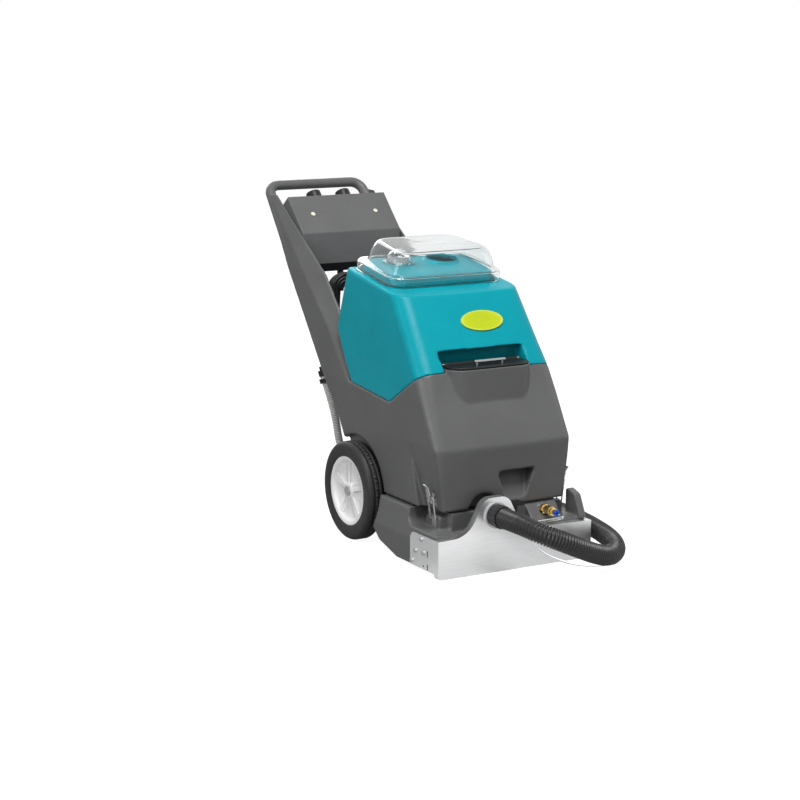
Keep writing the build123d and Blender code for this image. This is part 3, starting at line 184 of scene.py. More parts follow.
def merged(name, *nodes):
    """A new object with the triangles of some nodes joined at their shared corners."""
    mesh = bpy.data.meshes.new(name)
    form = bmesh.new()
    for node in nodes:
        form.from_mesh(frame["nodes"][node].data)
    bmesh.ops.remove_doubles(form, verts=form.verts, dist=0.00002)
    form.to_mesh(mesh)
    form.free()
    return placed(name, mesh)


def final_mesh(piece):
    """A new plain mesh of a piece as its modifiers leave it."""
    graph = bpy.context.evaluated_depsgraph_get()
    graph.update()
    return bpy.data.meshes.new_from_object(piece.evaluated_get(graph))


def baked(piece):
    """Turns a piece's modifiers into its plain mesh."""
    mesh = final_mesh(piece)
    piece.modifiers.clear()
    piece.data = mesh
    return piece


def fixed(piece, material, *nodes):
    """Puts a finished piece in the place of some nodes on the machine."""
    piece.data.materials.clear()
    piece.data.materials.append(material)
    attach(piece, frame["nodes"][nodes[0]]["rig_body"])
    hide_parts(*nodes)
    return piece


def eased(piece, name, passes):
    """Adds some passes of smoothing, each halfway, to a piece."""
    ease = piece.modifiers.new(name, "SMOOTH")
    ease.factor = 0.5
    ease.iterations = passes
    return ease


def moulding(name, nodes, material, voxel, soft, share, rounder=0, zone=None, bend=None):
    """A moulded shell: remeshed in even voxels, eased by soft passes and thinned to a share of its faces.

    A bend moves each point of the even mesh. Where zone holds for a point, the edges get rounder passes
    of easing more."""
    piece = merged(name, *nodes)
    even = piece.modifiers.new("even", "REMESH")
    even.mode = "VOXEL"
    even.voxel_size = voxel * 1
    baked(piece)
    if bend:
        for vertex in piece.data.vertices:
            vertex.co = bend(*vertex.co)
    eased(piece, "ease", soft)
    if zone:
        group = piece.vertex_groups.new(name="rounder")
        group.add([vertex.index for vertex in piece.data.vertices if zone(*vertex.co)], 1, "REPLACE")
        eased(piece, "rounder", rounder).vertex_group = group.name
    piece.modifiers.new("thin", "DECIMATE").ratio = share
    baked(piece)
    piece.data.shade_smooth()
    return fixed(piece, material, *nodes)


grey_shell = skinned("grey_shell", grey, roughness=0.37, shine=0.26)
base = moulding("base_shell", ["base_housing"], grey_shell, voxel=0.003, soft=4, share=0.3)

# Vacuum shoe: stainless sheet, folded and seam-welded, brushed along its length. Bolts hold its side
# plates to the base, and a steel collar on its hump takes the hose.

stainless_tone = (0.74, 0.745, 0.75)
steel_tone = (0.50, 0.50, 0.51)
brushed_along_x = (0.03, 1, 1)


def drawn_metal():
    """Fine streaks along one direction, as rolling or brushing leaves them on metal."""
    group = bpy.data.node_groups.new("drawn_metal", "ShaderNodeTree")
    start, end = group_sockets(
        group,
        [("Colour", "Color", (0.7, 0.7, 0.7, 1)), ("Roughness", "Float", 0.3),
         ("Stretch", "Vector", (1, 1, 1))],
        surface_outputs)
    spot = on_piece(group)
    stretched = added(group, "ShaderNodeVectorMath", {0: spot, 1: (start, "Stretch")},
                      operation="MULTIPLY")
    streak = noise(group, (stretched, "Vector"), scale=900, detail=2)
    shade = spread(group, streak, low=0.94, high=1.04)
    uneven = spread(group, noise(group, spot, scale=14, detail=2), low=-0.05, high=0.06)
    feed(group, end, {
        "Colour": tinted(group, (start, "Colour"), shade),
        "Roughness": maths(group, "ADD", (start, "Roughness"), uneven),
        "Height": (streak, "Fac")})
    return group


drawn = drawn_metal()


def metal(name, colour, roughness, stretch=(1, 1, 1), relief=0.08):
    """A metal with drawn or brushed streaks."""
    values = {"Colour": (*colour, 1), "Roughness": roughness, "Stretch": stretch}
    material, shader = surfaced(name, drawn, values, relief, depth=0.0002)
    shader.inputs["Metallic"].default_value = 1
    return material


def paint(material, *nodes):
    """Gives pieces of the frame their material."""
    for node in nodes:
        mesh = frame["nodes"][node].data
        mesh.materials.clear()
        mesh.materials.append(material)


stainless = metal("stainless", stainless_tone, roughness=0.33, stretch=brushed_along_x, relief=0.03)
steel = metal("steel", steel_tone, roughness=0.35)
paint(stainless, "vacuum_shoe")
paint(steel, "shoe_bolts", "hose_collar")

# Vacuum hose: black corrugated polyethylene from the shoe's port round the front corner. A ribbed cuff
# seals it in the shoe, an elbow cuff in the base's side, and a bracket behind the shoe stops the cuff.

black = (0.007, 0.007, 0.0075)
hose_route = [(-0.058, -0.570, 0.142), (-0.058, -0.612, 0.142), (-0.055, -0.655, 0.141),
              (-0.034, -0.697, 0.128), (0.014, -0.714, 0.108), (0.066, -0.712, 0.084),
              (0.116, -0.702, 0.062), (0.162, -0.684, 0.046), (0.204, -0.655, 0.040),
              (0.240, -0.614, 0.040), (0.264, -0.564, 0.044), (0.272, -0.508, 0.051),
              (0.266, -0.446, 0.062), (0.254, -0.382, 0.071), (0.2515, -0.324, 0.072)]
hose_radius = 0.025
hose_root = 0.0222
hose_pitch = 0.0076
rib_steps = 8


def spline(name, points):
    """A smooth line that follows a route's points."""
    curve = bpy.data.curves.new(name, "CURVE")
    curve.dimensions = "3D"
    curve.resolution_u = 12
    line = curve.splines.new("NURBS")
    line.points.add(len(points) - 1)
    for point, at in zip(line.points, points):
        point.co = (*at, 1)
    line.order_u = 3
    line.use_endpoint_u = True
    return placed(name, curve)


def followed(line):
    """The points along a line, read from its own spline."""
    mesh = final_mesh(line)
    points = [vertex.co.copy() for vertex in mesh.vertices]
    bpy.data.meshes.remove(mesh)
    return points


def measure(points):
    """The length of a line through its points."""
    return sum((after - before).length for before, after in zip(points, points[1:]))


def shaping_tree(name, sizes):
    """A tree that takes a source shape, named sizes and a material, and gives a piece's shape."""
    tree = bpy.data.node_groups.new(name, "GeometryNodeTree")
    tree.interface.new_socket("Geometry", in_out="INPUT", socket_type="NodeSocketGeometry")
    start, end = group_sockets(tree, sizes, [("Geometry", "Geometry")])
    tree.interface.new_socket("Material", in_out="INPUT", socket_type="NodeSocketMaterial")
    return tree, start, end


def noted(tree, shape, name, kind, value):
    """A shape that keeps a value on each of its points under a name."""
    node = added(tree, "GeometryNodeStoreNamedAttribute",
                 {"Geometry": shape, "Name": name, "Value": value}, data_type=kind, domain="POINT")
    return node, "Geometry"


def coated(tree, start, end, shape):
    """Ends a shaping tree: plain geometry with its material."""
    plain = added(tree, "GeometryNodeRealizeInstances", {"Geometry": shape})
    coat = added(tree, "GeometryNodeSetMaterial",
                 {"Geometry": (plain, "Geometry"), "Material": (start, "Material")})
    feed(tree, end, {"Geometry": (coat, "Geometry")})


def rib_tree():
    """A tube along a curve whose radius swells and falls with every rib; "rib" is 1 on a crest."""
    tree, start, end = shaping_tree("hose_ribs", [
        ("Outer", "Float", 0.02), ("Root", "Float", 0.018), ("Pitch", "Float", 0.006),
        ("Steps", "Int", 800), ("Sides", "Int", 36)])
    even = added(tree, "GeometryNodeResampleCurve",
                 {"Curve": (start, "Geometry"), "Count": (start, "Steps")})
    along = added(tree, "GeometryNodeSplineParameter")
    turns = maths(tree, "DIVIDE", (along, "Length"), (start, "Pitch"))
    wave = maths(tree, "SINE", maths(tree, "MULTIPLY", turns, 2 * pi))
    crest = added(tree, "ShaderNodeMapRange", {"Value": wave, "From Min": -0.6, "From Max": 0.8})
    swell = added(tree, "ShaderNodeMapRange", {
        "Value": (crest, "Result"), "To Min": (start, "Root"), "To Max": (start, "Outer")})
    ring = added(tree, "GeometryNodeCurvePrimitiveCircle",
                 {"Resolution": (start, "Sides"), "Radius": 1})
    tube = added(tree, "GeometryNodeCurveToMesh", {
        "Curve": noted(tree, (even, "Curve"), "rib", "FLOAT", (crest, "Result")),
        "Profile Curve": (ring, "Curve"), "Scale": (swell, "Result"), "Fill Caps": True})
    coated(tree, start, end, (tube, "Mesh"))
    return tree


def socket_of(tree, name):
    """The identifier of a tree's named input."""
    return next(item.identifier for item in tree.interface.items_tree
                if item.item_type == "SOCKET" and item.in_out == "INPUT" and item.name == name)


def grown(name, tree, source, values):
    """The plain mesh that a node tree makes from a source object, as a new piece."""
    modifier = source.modifiers.new("grow", "NODES")
    modifier.node_group = tree
    for entry, value in values.items():
        modifier[socket_of(tree, entry)] = value
    piece = placed(name, final_mesh(source))
    source.modifiers.remove(modifier)
    piece.data.shade_smooth()
    return piece


ribs = rib_tree()


def ribbed_hose(name, points, outer, root, pitch, material):
    """A corrugated hose along its route, and the line that it follows."""
    line = spline(name + "_line", points)
    path = followed(line)
    steps = ceil(measure(path) / pitch) * rib_steps
    hose = grown(name, ribs, line, {"Outer": outer, "Root": root, "Pitch": pitch, "Steps": steps,
                                    "Material": material})
    bpy.data.objects.remove(line)
    return hose, path


def surface_of(tree):
    """The shared surface in a material's tree."""
    return next(node for node in tree.nodes if node.type == "GROUP")


def groove_shaded(name, groove_shade, crest, roughness):
    """A hose's plastic, with painted shade in the grooves between its ribs, darker there than on the crests.
    """
    material = skinned(name, crest, roughness, grain=300, relief=0.15)
    tree = material.node_tree
    rib = added(tree, "ShaderNodeAttribute", attribute_name="rib")
    mix = added(tree, "ShaderNodeMix", {
        "Factor": (rib, "Fac"), mix_first: (*groove_shade, 1), mix_second: (*crest, 1)}, data_type="RGBA")
    feed(tree, surface_of(tree), {"Colour": (mix, mix_result)})
    return material


# The black hose gets painted shade in its grooves, darker than its crests.
hose_black = groove_shaded("hose_black", groove_shade=(0.002, 0.002, 0.002), crest=(0.017, 0.017, 0.018),
                     roughness=0.32)
cuff_rubber = skinned("cuff_rubber", (0.012, 0.012, 0.013), roughness=0.45, grain=500)
black_plastic = skinned("black_plastic", black, roughness=0.40, grain=600, shine=0.25)
paint(cuff_rubber, "hose_cuff", "elbow_cuff")
paint(black_plastic, "cuff_retainer")
hose, hose_path = ribbed_hose("front_hose", hose_route, hose_radius, hose_root, hose_pitch, hose_black)
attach(hose, "base")
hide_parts("vacuum_hose")

# Solution line: a turned brass quick coupler screwed in the front panel, with a blue collet that grips a
# clear tube. The tube loops over the floor to a brass fitting in the side.

brass_tone = (0.78, 0.60, 0.29)
tube_radius = 0.0032
tube_route = [(0.110, -0.548, 0.128), (0.110, -0.580, 0.128), (0.084, -0.600, 0.130),
              (0.046, -0.607, 0.132), (0.004, -0.606, 0.132), (-0.012, -0.606, 0.116),
              (-0.012, -0.605, 0.092), (0.026, -0.604, 0.055), (0.060, -0.604, 0.036),
              (0.096, -0.606, 0.021), (0.136, -0.612, 0.009), (0.178, -0.622, 0.0052),
              (0.220, -0.630, 0.0052), (0.262, -0.622, 0.008), (0.294, -0.590, 0.014),
              (0.307, -0.542, 0.026), (0.306, -0.488, 0.041), (0.298, -0.432, 0.059),
              (0.290, -0.376, 0.078), (0.281, -0.312, 0.096), (0.264, -0.255, 0.104),
              (0.2245, -0.255, 0.104)]


def clear_plastic(name, tone, roughness, index):
    """A see-through plastic with faint scuffs in its gloss."""
    material, tree, shader = principled(name)
    scuff = noise(tree, on_piece(tree), scale=60, detail=3)
    feed(tree, shader, {
        "Base Color": (*tone, 1), "Transmission Weight": 1, "IOR": index,
        "Roughness": spread(tree, scuff, low=roughness, high=roughness + 0.04)})
    return material


def round_cord(name, points, radius, material):
    """A smooth round cord along its route."""
    piece = spline(name, points)
    piece.data.bevel_depth = radius
    piece.data.bevel_resolution = 6
    piece.data.use_fill_caps = True
    piece.data.materials.append(material)
    return piece


def route_length(points):
    """The length of the smooth line along a route."""
    line = spline("measured_line", points)
    length = measure(followed(line))
    bpy.data.objects.remove(line)
    return length


brass = metal("brass", brass_tone, roughness=0.24)
blue = skinned("blue_plastic", (0.010, 0.090, 0.55), roughness=0.30)
tube_clear = clear_plastic("tube_clear", (0.93, 0.95, 0.96), roughness=0.05, index=1.35)
paint(brass, "brass_coupler", "outlet_fitting")
paint(blue, "blue_collet")
tube = round_cord("solution_line", tube_route, tube_radius, tube_clear)
tube_length = route_length(tube_route)
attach(tube, "base")
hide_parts("solution_tube")

# Machinery in the base: a painted pump, brush motor and vacuum motor, a stainless spray bar over the
# carpet, the rubber belt and steel pulley that drive the brush, and the brush's plastic bushes. A soft
# rubber seal lies on the base's rim.

motor_paint = skinned("motor_paint", (0.045, 0.047, 0.050), roughness=0.35)
seal_rubber = skinned("seal_rubber", (0.008, 0.008, 0.008), roughness=0.65, grain=500)
paint(motor_paint, "solution_pump", "brush_motor", "vacuum_motor")
paint(stainless, "spray_bar")
paint(seal_rubber, "drive_belt", "split_seal")
paint(black_plastic, "brush_bushes")
paint(steel, "motor_pulley")

# Brush roller: a plastic core with its pulley, and nylon tufts set in ten rows of holes along it. Each
# tuft leans a little its own way.

brush_middle = (-0.400, 0.036)
brush_core_radius = 0.018
tuft_radius = 0.0022
tuft_reach = 0.0165
tuft_rows, row_tufts = 10, 62


def tuft_tree():
    """Rows of tufts rooted on a roller along X.

    The way that a tuft stands is worked out where it ends up, not from its place on the grid, so all of
    them point forward and down."""
    tree, start, end = shaping_tree("brush_tufts", [
        ("Left", "Float", -0.2), ("Right", "Float", 0.2), ("Core", "Float", 0.018),
        ("Reach", "Float", 0.017), ("Tuft", "Float", 0.002), ("Rows", "Int", 10), ("Tufts", "Int", 60),
        ("Middle Y", "Float", 0), ("Middle Z", "Float", 0)])
    grid = added(tree, "GeometryNodeMeshGrid", {
        "Size X": 1, "Size Y": 1, "Vertices X": (start, "Tufts"), "Vertices Y": (start, "Rows")})
    spot = added(tree, "GeometryNodeInputPosition")
    parts = added(tree, "ShaderNodeSeparateXYZ", {"Vector": (spot, "Position")})
    share = maths(tree, "SUBTRACT", 1, maths(tree, "DIVIDE", 1, (start, "Rows")))
    angle = maths(tree, "MULTIPLY", maths(tree, "MULTIPLY", (parts, "Y"), share), 2 * pi)
    along = added(tree, "ShaderNodeMapRange", {
        "Value": (parts, "X"), "From Min": -0.5, "From Max": 0.5, "To Min": (start, "Left"),
        "To Max": (start, "Right")})
    place = added(tree, "ShaderNodeCombineXYZ", {"X": (along, "Result")})
    for axis, turn in (("Y", "COSINE"), ("Z", "SINE")):
        out = maths(tree, "MULTIPLY", maths(tree, turn, angle), (start, "Core"))
        feed(tree, place, {axis: maths(tree, "ADD", out, (start, "Middle " + axis))})
    move = added(tree, "GeometryNodeSetPosition",
                 {"Geometry": (grid, "Mesh"), "Position": (place, "Vector")})
    stand = added(tree, "ShaderNodeCombineXYZ", {"X": maths(tree, "SUBTRACT", angle, pi / 2)})
    most_lean = 0.07
    lean = added(tree, "FunctionNodeRandomValue", {
        "Min": (-most_lean, -most_lean, 0), "Max": (most_lean, most_lean, 1), "Seed": 5},
        data_type="FLOAT_VECTOR")
    turned = added(tree, "ShaderNodeVectorMath", {0: (stand, "Vector"), 1: (lean, "Value")})
    way = added(tree, "GeometryNodeInputNamedAttribute", {"Name": "stand"}, data_type="FLOAT_VECTOR")
    root_share = 0.65
    tuft = added(tree, "GeometryNodeMeshCone", {
        "Vertices": 7, "Radius Top": (start, "Tuft"),
        "Radius Bottom": maths(tree, "MULTIPLY", (start, "Tuft"), root_share),
        "Depth": (start, "Reach")})
    put = added(tree, "GeometryNodeInstanceOnPoints", {
        "Points": noted(tree, (move, "Geometry"), "stand", "FLOAT_VECTOR", (turned, "Vector")),
        "Instance": (tuft, "Mesh"), "Rotation": (way, "Attribute")})
    coated(tree, start, end, (put, "Instances"))
    return tree


bristle_nylon = skinned("bristle_nylon", (0.020, 0.022, 0.026), roughness=0.45)
paint(black_plastic, "brush_core")
row_left, row_right = (corner[0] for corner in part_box("brush_bristles"))
roller = placed("roller", bpy.data.meshes.new("roller"))
tufts = grown("brush_tufts", tuft_tree(), roller, {
    "Left": row_left + tuft_radius, "Right": row_right - tuft_radius, "Core": brush_core_radius,
    "Reach": tuft_reach, "Tuft": tuft_radius, "Rows": tuft_rows, "Tufts": row_tufts,
    "Middle Y": brush_middle[0], "Middle Z": brush_middle[1], "Material": bristle_nylon})
bpy.data.objects.remove(roller)
tufts.data.set_sharp_from_angle(angle=0.7)
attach(tufts, "brush")
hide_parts("brush_bristles")

# Wheels: a white plastic disc, moulded in one with its spokes, in a black rubber tyre. Each turns on a
# steel stub axle, behind a steel nut.


def rounded_off(node, name, material, angle=32):
    """A turned or moulded piece, shaded smoothly between its sharp edges."""
    piece = merged(name, node)
    piece.data.shade_smooth()
    piece.data.set_sharp_from_angle(angle=radians(angle))
    return fixed(piece, material, node)


tyre_rubber = skinned("tyre_rubber", (0.022, 0.022, 0.0225), roughness=0.50, grain=450, shine=0.25)
white_plastic = skinned("white_plastic", (0.84, 0.84, 0.835), roughness=0.35)
for side in ("left", "right"):
    rounded_off(side + "_tyre", side + "_rubber", tyre_rubber)
    rounded_off(side + "_disc", side + "_wheel_disc", white_plastic)
paint(steel, "stub_axles")

# Solution tank and handle: the grey upper body, a hollow moulding that holds clean solution. Its two
# leaning arms and the grip tube grow out of it, and hinge lugs of steel carry it at the rear.

front_foot_y, front_foot_z = -0.483, 0.299
front_lean = 0.5029
front_half = 0.193
front_bow, bow_level = 0.0085, 0.75
lip_half = 0.117
lip_front, lip_rear = -0.438, -0.352
lip_low, lip_high = 0.385, 0.495
lip_wall = 0.006
lip_turn = 0.045
lip_margin = 0.003
lip_proud = 0.0008
mouth_half = lip_half - 0.75 * lip_wall
mouth_front = lip_front + lip_wall / 2
mouth_low = 0.412
crease_front = -0.415
crease_low, crease_high = 0.165, 0.345
grip_middle, grip_half = 0.031, 0.066
grip_top = 0.248


def rounded_back(x, half, turn):
    """How far a straight front falls back near its ends to turn its corners round, seen from above."""
    into = min(max(turn - half + abs(x), 0), turn)
    return turn - (turn * turn - into * into) ** 0.5


def sloping_front(x, z):
    """The y of the tank's sloping front, which bows out a little in the middle."""
    leaning = front_foot_y + front_lean * (z - front_foot_z)
    return leaning - front_bow * (bow_level - (x / front_half) ** 2)


def round_lip(x, y, z):
    """Turns the filler lip's front corners round, so that they run out in the sloping front."""
    near = abs(x) < lip_half + lip_margin and lip_front - lip_margin < y < lip_rear
    if not (near and lip_low < z < lip_high):
        return x, y, z
    depth = min((lip_rear - y) / (lip_rear - lip_front), 1)
    back = y + depth * rounded_back(x, lip_half, lip_turn)
    if abs(x) < mouth_half and y > mouth_front and z > mouth_low:
        return x, back, z
    slope = sloping_front(x, z)
    if y < slope - lip_proud:
        return x, min(back, slope), z
    return x, y, z


def front_crease(x, y, z):
    """Round the crease across the front and the edges of the latch notches, away from the grip."""
    at_grip = abs(x - grip_middle) < grip_half and z < grip_top
    return y < crease_front and crease_low < z < crease_high and not at_grip


body = moulding("body_shell", ["solution_tank", "handle_frame"], grey_shell, voxel=0.003, soft=4, share=0.22,
                rounder=14, zone=front_crease, bend=round_lip)
paint(steel, "base_hinge", "tank_hinge")

# Filler: a black flap on a steel pin closes the mouth at the front, with a bright pull on top. Its ends
# are as round as the lip that it lies on.

flap_half = 0.115
flap_front, flap_rear = -0.435, -0.374
flap_turn = lip_turn - 0.002


def round_flap(x, y, z):
    """Turns the flap's front corners round."""
    depth = min(max((flap_rear - y) / (flap_rear - flap_front), 0), 1)
    return x, y + depth * rounded_back(x, flap_half, flap_turn), z


bright = metal("bright", (0.40, 0.40, 0.41), roughness=0.18)
flap = moulding("flap_plate", ["filler_flap"], black_plastic, voxel=0.0012, soft=2, share=0.3,
                bend=round_flap)
paint(steel, "flap_pin")
paint(bright, "flap_pull")

# Latches: bright steel over-centre catches, pressed from sheet, at both sides of the front. A lever on
# the tank pulls its strap tight on a keeper on the base and so clamps the two together.

latch_steel = metal("latch_steel", (0.42, 0.42, 0.43), roughness=0.30)
paint(latch_steel, "latch_keepers", "latch_plates", "left_lever", "right_lever", "left_strap", "right_strap")

# Control console: a folded grey shell between the arms, with two screws in front, two black knobs on
# its back slope and a black tray below.

screw_metal = metal("screw_metal", (0.83, 0.80, 0.68), roughness=0.25)
console_shell = moulding("console_shell", ["console"], grey_shell, voxel=0.002, soft=3, share=0.3)
paint(screw_metal, "console_screws")
paint(black_plastic, "console_tray")
for side in ("left", "right"):
    rounded_off(side + "_knob", side + "_dial_knob", black_plastic)

# Power cord: a black rubber lead from its gland, wound in a hank on the hook under the tray, with its
# plug hanging below.

cord_radius = 0.004
cord_pitch = 0.0086
cord_lead = [(0.060, 0.308, 0.616), (0.060, 0.308, 0.582), (0.047, 0.303, 0.550), (0.024, 0.295, 0.522),
             (0.0062, 0.2909, 0.480)]
hank_middle = -0.035
hank_inner = 0.024
hank_top, hank_bottom = 0.592, 0.436
hank_loops = 3
hank_layers = (0.2909, 0.2823, 0.2737, 0.2651)
fold_points = 6
cord_tail = [(0.0062, 0.2651, 0.398), (0.0122, 0.2621, 0.366), (0.0182, 0.2581, 0.330)]


def hank_folds():
    """Each fold of the hank in turn: how far it goes across, its layer and whether it is over or under."""
    outer = hank_inner + (hank_loops - 1) * cord_pitch
    for layer in range(0, len(hank_layers), 2):
        here, behind = hank_layers[layer], hank_layers[layer + 1]
        for loop in range(hank_loops):
            across = 2 * (outer - cord_pitch * loop)
            last = loop == hank_loops - 1
            yield -across, here, -1
            yield across - (0 if last else cord_pitch), behind if last else here, 1
        for loop in range(1, hank_loops):
            across = 2 * (hank_inner + cord_pitch * loop)
            yield cord_pitch - across, behind, -1
            yield across, behind, 1


def hank_points():
    """The hank's turns, with some points round each fold."""
    x = hank_middle + hank_inner + (hank_loops - 1) * cord_pitch
    half_step = pi / (2 * fold_points)
    points = []
    for across, y, up in hank_folds():
        turn = across / 2
        reach = turn / cos(half_step)
        level = hank_top if up > 0 else hank_bottom
        for step in range(fold_points):
            angle = half_step + step * pi / fold_points
            points.append((x + turn - reach * cos(angle), y, level + up * abs(reach) * sin(angle)))
        x += across
    return points


cord_rubber = skinned("cord_rubber", (0.011, 0.011, 0.012), roughness=0.45, grain=500)
paint(black_plastic, "cord_hook", "cord_gland", "plug")
cord_route = cord_lead + hank_points() + cord_tail
mains_lead = round_cord("mains_lead", cord_route, cord_radius, cord_rubber)
lead_length = route_length(cord_route)
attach(mains_lead, "upper_body")
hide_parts("power_cord")

# Drain hose: a pale ribbed hose from the spigot low on the rear of the tank, closed by a plug and held
# up in a clip.

drain_route = [(-0.146, 0.006, 0.164), (-0.146, 0.046, 0.164), (-0.147, 0.082, 0.185),
               (-0.149, 0.102, 0.222), (-0.152, 0.107, 0.262), (-0.158, 0.112, 0.300),
               (-0.166, 0.116, 0.334), (-0.173, 0.121, 0.362), (-0.178, 0.128, 0.388)]
drain_radius = 0.011
drain_root = 0.0094
drain_pitch = 0.0044
# The pale hose gets painted shade in its grooves, far darker than its crests.
drain_pale = groove_shaded("drain_pale", groove_shade=(0.26, 0.26, 0.25), crest=(0.84, 0.84, 0.83), roughness=0.35)
drain, drain_path = ribbed_hose("drain_line", drain_route, drain_radius, drain_root, drain_pitch, drain_pale)
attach(drain, "upper_body")
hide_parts("drain_hose")
paint(black_plastic, "drain_spigot", "drain_plug", "hose_clip")

# Recovery tank: the teal moulding that takes the dirty water, hollow and soft-edged like the tank below.
# It rests in the upper body and lifts off to be emptied.

teal = (0.0003, 0.275, 0.336)
neck_half = 0.153
neck_front, neck_rear = -0.204, -0.008
neck_low = 0.64
recess_low = 0.497


def deck_edges(x, y, z):
    """The edges round the deck, the rear corners and the recess, away from the neck under the lid."""
    on_neck = abs(x) < neck_half and neck_front < y < neck_rear and z > neck_low
    return z > recess_low and not on_neck


teal_shell = skinned("teal_shell", teal, roughness=0.34, shine=0.12)
recovery = moulding("recovery_shell", ["recovery_tank"], teal_shell, voxel=0.0025, soft=4, share=0.24,
                    rounder=30, zone=deck_edges)

# Badge: a bare oval plate on the front of the recovery tank, glued in place. It is printed lime, with a
# paler line just inside its edge.

badge_middle = (0.029, -0.3226, 0.580)
badge_half = (0.060, 0.028)
badge_slope = 0.6345
line_start, line_full = 0.86, 0.91


def edged(material, edge_colour):
    """Adds a paler line just inside an oval plate's edge."""
    tree = material.node_tree
    surface = surface_of(tree)
    oval = added(tree, "ShaderNodeMapping", {
        "Vector": on_piece(tree), "Location": badge_middle, "Rotation": (pi / 2 - badge_slope, 0, 0),
        "Scale": (*badge_half, 1)}, vector_type="TEXTURE")
    flat = added(tree, "ShaderNodeVectorMath", {0: (oval, "Vector"), 1: (1, 1, 0)}, operation="MULTIPLY")
    far = added(tree, "ShaderNodeVectorMath", {0: (flat, "Vector")}, operation="LENGTH")
    ramp = added(tree, "ShaderNodeValToRGB", {"Fac": (far, "Value")})
    inner, outer = ramp.color_ramp.elements
    inner.position = line_start
    inner.color = surface.inputs["Colour"].default_value
    outer.position = line_full
    outer.color = (*edge_colour, 1)
    feed(tree, surface, {"Colour": (ramp, "Color")})
    return material


lime = skinned("lime", (0.44, 0.53, 0.004), roughness=0.30)
paint(edged(lime, edge_colour=(0.50, 0.60, 0.05)), "badge_plate")

# Inside the recovery tank: white plastic stand pipes, with a float ball loose in the cage on top of one.
# A clear moulded dome over the inlet turns the dirty water down.

pipe_white = skinned("pipe_white", (0.60, 0.61, 0.60), roughness=0.40)
dome_clear = clear_plastic("dome_clear", (0.90, 0.915, 0.915), roughness=0.03, index=1.35)
paint(pipe_white, "stand_pipes", "float_ball")
rounded_off("deflector_dome", "deflector", dome_clear, angle=40)

# Dome lid: clear thermoformed plastic with a deep skirt round the tank's neck, lifted off to rinse the
# tank. It stands on a soft seal.

lid_middle_y = -0.107
lid_middle_z = 0.6724
lid_tilt = 0.16273
lid_half = (0.166, 0.110)
lid_corner = 0.045
lid_flange = 0.027
lid_wall = 0.0032
skirt_levels = (0.003, 0.012, 0.021)
skirt_round, skirt_steps = 0.006, 5
dome_half = (0.151, 0.138)
dome_reach = 0.099
dome_corner = 0.040
dome_rise = (0.057, 0.051)
dome_lean = (0.8, 0.5)
dome_foot = [(-0.005, 0), (-0.002, 0.012), (-0.0005, 0.045)]
dome_crown = [(0.050, 1.008), (0.075, 1.013), (0.098, 1.015)]
shoulder_start, shoulder_steps = 0.1, 14
shoulder_lean, shoulder_round = 0.004, 0.024


def lid_ring(wide, narrow, front, rear, corner, front_up, rear_up, steps=10):
    """One ring of the lid, with round corners, in the sloping deck's own plane."""
    ring = []
    for quarter in range(4):
        half = narrow if quarter < 2 else wide
        across = (half - corner) * (1 if quarter in (0, 3) else -1)
        along = rear - corner if quarter < 2 else front + corner
        for step in range(steps):
            angle = (quarter + step / (steps - 1)) * pi / 2
            x, y = across + corner * cos(angle), along + corner * sin(angle)
            up = front_up + (rear_up - front_up) * (y - front) / (rear - front)
            ring.append((x, lid_middle_y + y * cos(lid_tilt) - up * sin(lid_tilt),
                         lid_middle_z + y * sin(lid_tilt) + up * cos(lid_tilt)))
    return ring


def skirt_ring(inset, up):
    """A ring of the skirt and its flange."""
    x, y = lid_half[0] - inset, lid_half[1] - inset
    return lid_ring(x, x, -y, y, lid_corner - inset, up, up)


def dome_ring(inset, share):
    """A ring of the dome, which is wider in front than behind and leans in as it rises."""
    front, rear = dome_lean[0] * inset - dome_reach, dome_reach - dome_lean[1] * inset
    front_up, rear_up = (lid_flange + share * rise for rise in dome_rise)
    return lid_ring(dome_half[0] - inset, dome_half[1] - inset, front, rear, dome_corner - inset / 4,
                    front_up, rear_up)


def lid_rings():
    """The lid's outside from the foot of its skirt to the crown of its dome."""
    rings = [skirt_ring(0, up) for up in skirt_levels]
    for step in range(1, skirt_steps + 1):
        angle = step * pi / (2 * skirt_steps)
        rings.append(skirt_ring(skirt_round * (1 - cos(angle)), skirt_levels[-1] + skirt_round * sin(angle)))
    rings += [dome_ring(*foot) for foot in dome_foot]
    for step in range(1, shoulder_steps + 1):
        angle = shoulder_start + step / shoulder_steps * (pi / 2 - shoulder_start)
        inset = shoulder_lean * sin(angle) + shoulder_round * (1 - cos(angle))
        rings.append(dome_ring(inset, sin(angle)))
    rings += [dome_ring(*crown) for crown in dome_crown]
    return rings


def clear_lid():
    """The lid as a thin clear wall."""
    form = bmesh.new()
    rings = [[form.verts.new(point) for point in ring] for ring in lid_rings()]
    for low, high in zip(rings, rings[1:]):
        for at in range(len(low)):
            after = (at + 1) % len(low)
            form.faces.new((low[at], low[after], high[after], high[at]))
    form.faces.new(rings[-1])
    mesh = bpy.data.meshes.new("clear_lid")
    form.to_mesh(mesh)
    form.free()
    piece = placed("clear_lid", mesh)
    wall = piece.modifiers.new("wall", "SOLIDIFY")
    wall.thickness = lid_wall
    wall.offset = -1
    baked(piece)
    piece.data.shade_smooth()
    piece.data.set_sharp_from_angle(angle=0.9)
    return piece


seal_soft = skinned("seal_soft", (0.004, 0.055, 0.065), roughness=0.5, grain=500)
lid = fixed(clear_lid(), dome_clear, "dome_lid")
paint(seal_soft, "lid_seal")

# Camera: a long lens at chest height, in front of the machine and to one side, where the machine was
# seen from.

camera_eye = Vector((-2.6038, -4.5461, 1.3435))
camera_target = Vector((-0.17934, -0.27996, 0.39237))
camera_data = bpy.data.cameras.new("camera")
camera_data.lens = 91.5
camera_data.sensor_width = 36


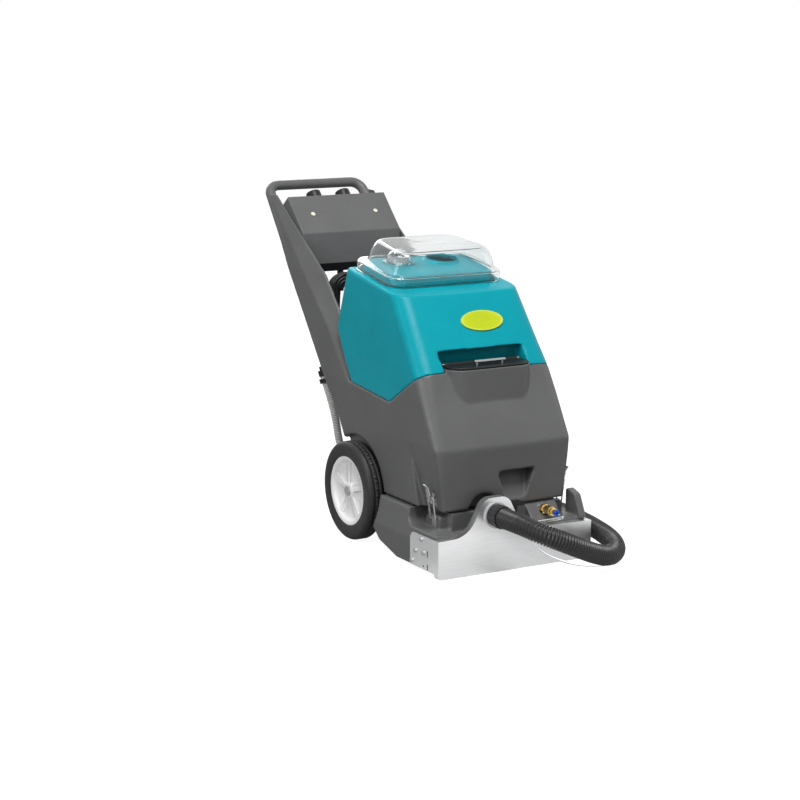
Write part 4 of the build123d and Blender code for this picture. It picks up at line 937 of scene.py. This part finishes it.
def aimed(piece, place, target):
    """Puts a camera or a lamp in its place and turns it to its target."""
    piece.location = place
    piece.rotation_euler = (Vector(target) - Vector(place)).to_track_quat("-Z", "Y").to_euler()
    return piece


bpy.context.scene.camera = aimed(placed("camera", camera_data), camera_eye, camera_target)
bpy.context.scene.view_settings.view_transform = "Standard"

# Light: large soft lamps round the machine, the strongest overhead, in a white studio. The studio shows
# as white to the camera, in metal and through clear plastic, but lights the machine only faintly.

sky_light = 0.17
lamps = [("key", (-0.6, -2.0, 5.2), (0, -0.2, 0.4), 2.4, 300),
         ("left", (-3.2, -0.8, 1.6), (0, -0.1, 0.4), 1.6, 40),
         ("corner", (-2.3, -2.0, 1.9), (-0.1, -0.4, 0.4), 0.5, 8),
         ("right", (2.8, -1.8, 1.4), (0, -0.1, 0.4), 2.0, 14),
         ("rear", (0.5, 3.0, 2.0), (0, 0, 0.5), 2.0, 40)]


def seen_directly(tree, mirrored):
    """One where the camera or a clear piece shows the background, and the mirrored share in a reflection."""
    ray = added(tree, "ShaderNodeLightPath")
    either = maths(tree, "MAXIMUM", (ray, "Is Camera Ray"), (ray, "Is Transmission Ray"))
    return maths(tree, "MAXIMUM", either, maths(tree, "MULTIPLY", (ray, "Is Glossy Ray"), mirrored))


for name, place, target, size, power in lamps:
    lamp = bpy.data.lights.new(name, "AREA")
    lamp.size = size
    lamp.energy = power
    aimed(placed(name, lamp), place, target)
world = bpy.data.worlds.new("studio")
bpy.context.scene.world = world
world.use_nodes = True
sky_tree = world.node_tree
sky_level = added(sky_tree, "ShaderNodeMapRange", {
    "Value": seen_directly(sky_tree, mirrored=1), "To Min": sky_light, "To Max": 1})
feed(sky_tree, sky_tree.nodes["Background"], {"Color": (1, 1, 1, 1), "Strength": (sky_level, "Result")})

# Floor: a wide white studio floor that keeps a faint shadow of the machine. It shines in metal only in
# front of the machine, and fades towards the rear.

floor_half = 40
floor_tone = (0.28, 0.28, 0.28)
floor_glow = 0.92
pool_front, pool_rear = -1.0, -0.3
rear_shine = 0.12
floor_mesh = bpy.data.meshes.new("floor")
floor_corners = [(-floor_half, -floor_half, 0), (floor_half, -floor_half, 0), (floor_half, floor_half, 0),
                 (-floor_half, floor_half, 0)]
floor_mesh.from_pydata(floor_corners, [], [(0, 1, 2, 3)])
floor = placed("floor", floor_mesh)
floor_white, floor_tree, floor_shader = principled("floor_white")
feed(floor_tree, floor_shader, {
    "Base Color": (*floor_tone, 1), "Roughness": 0.9, "Specular IOR Level": 0.1})
floor_axes = added(floor_tree, "ShaderNodeSeparateXYZ", {"Vector": on_piece(floor_tree)})
front_pool = added(floor_tree, "ShaderNodeMapRange", {
    "Value": (floor_axes, "Y"), "From Min": pool_front, "From Max": pool_rear, "To Min": 1,
    "To Max": rear_shine})
floor_seen = seen_directly(floor_tree, mirrored=(front_pool, "Result"))
glow = added(floor_tree, "ShaderNodeEmission", {
    "Color": (1, 1, 1, 1), "Strength": maths(floor_tree, "MULTIPLY", floor_seen, floor_glow)})
both = added(floor_tree, "ShaderNodeAddShader", {0: (floor_shader, "BSDF"), 1: (glow, "Emission")})
feed(floor_tree, floor_tree.nodes["Material Output"], {"Surface": (both, "Shader")})
floor_mesh.materials.append(floor_white)
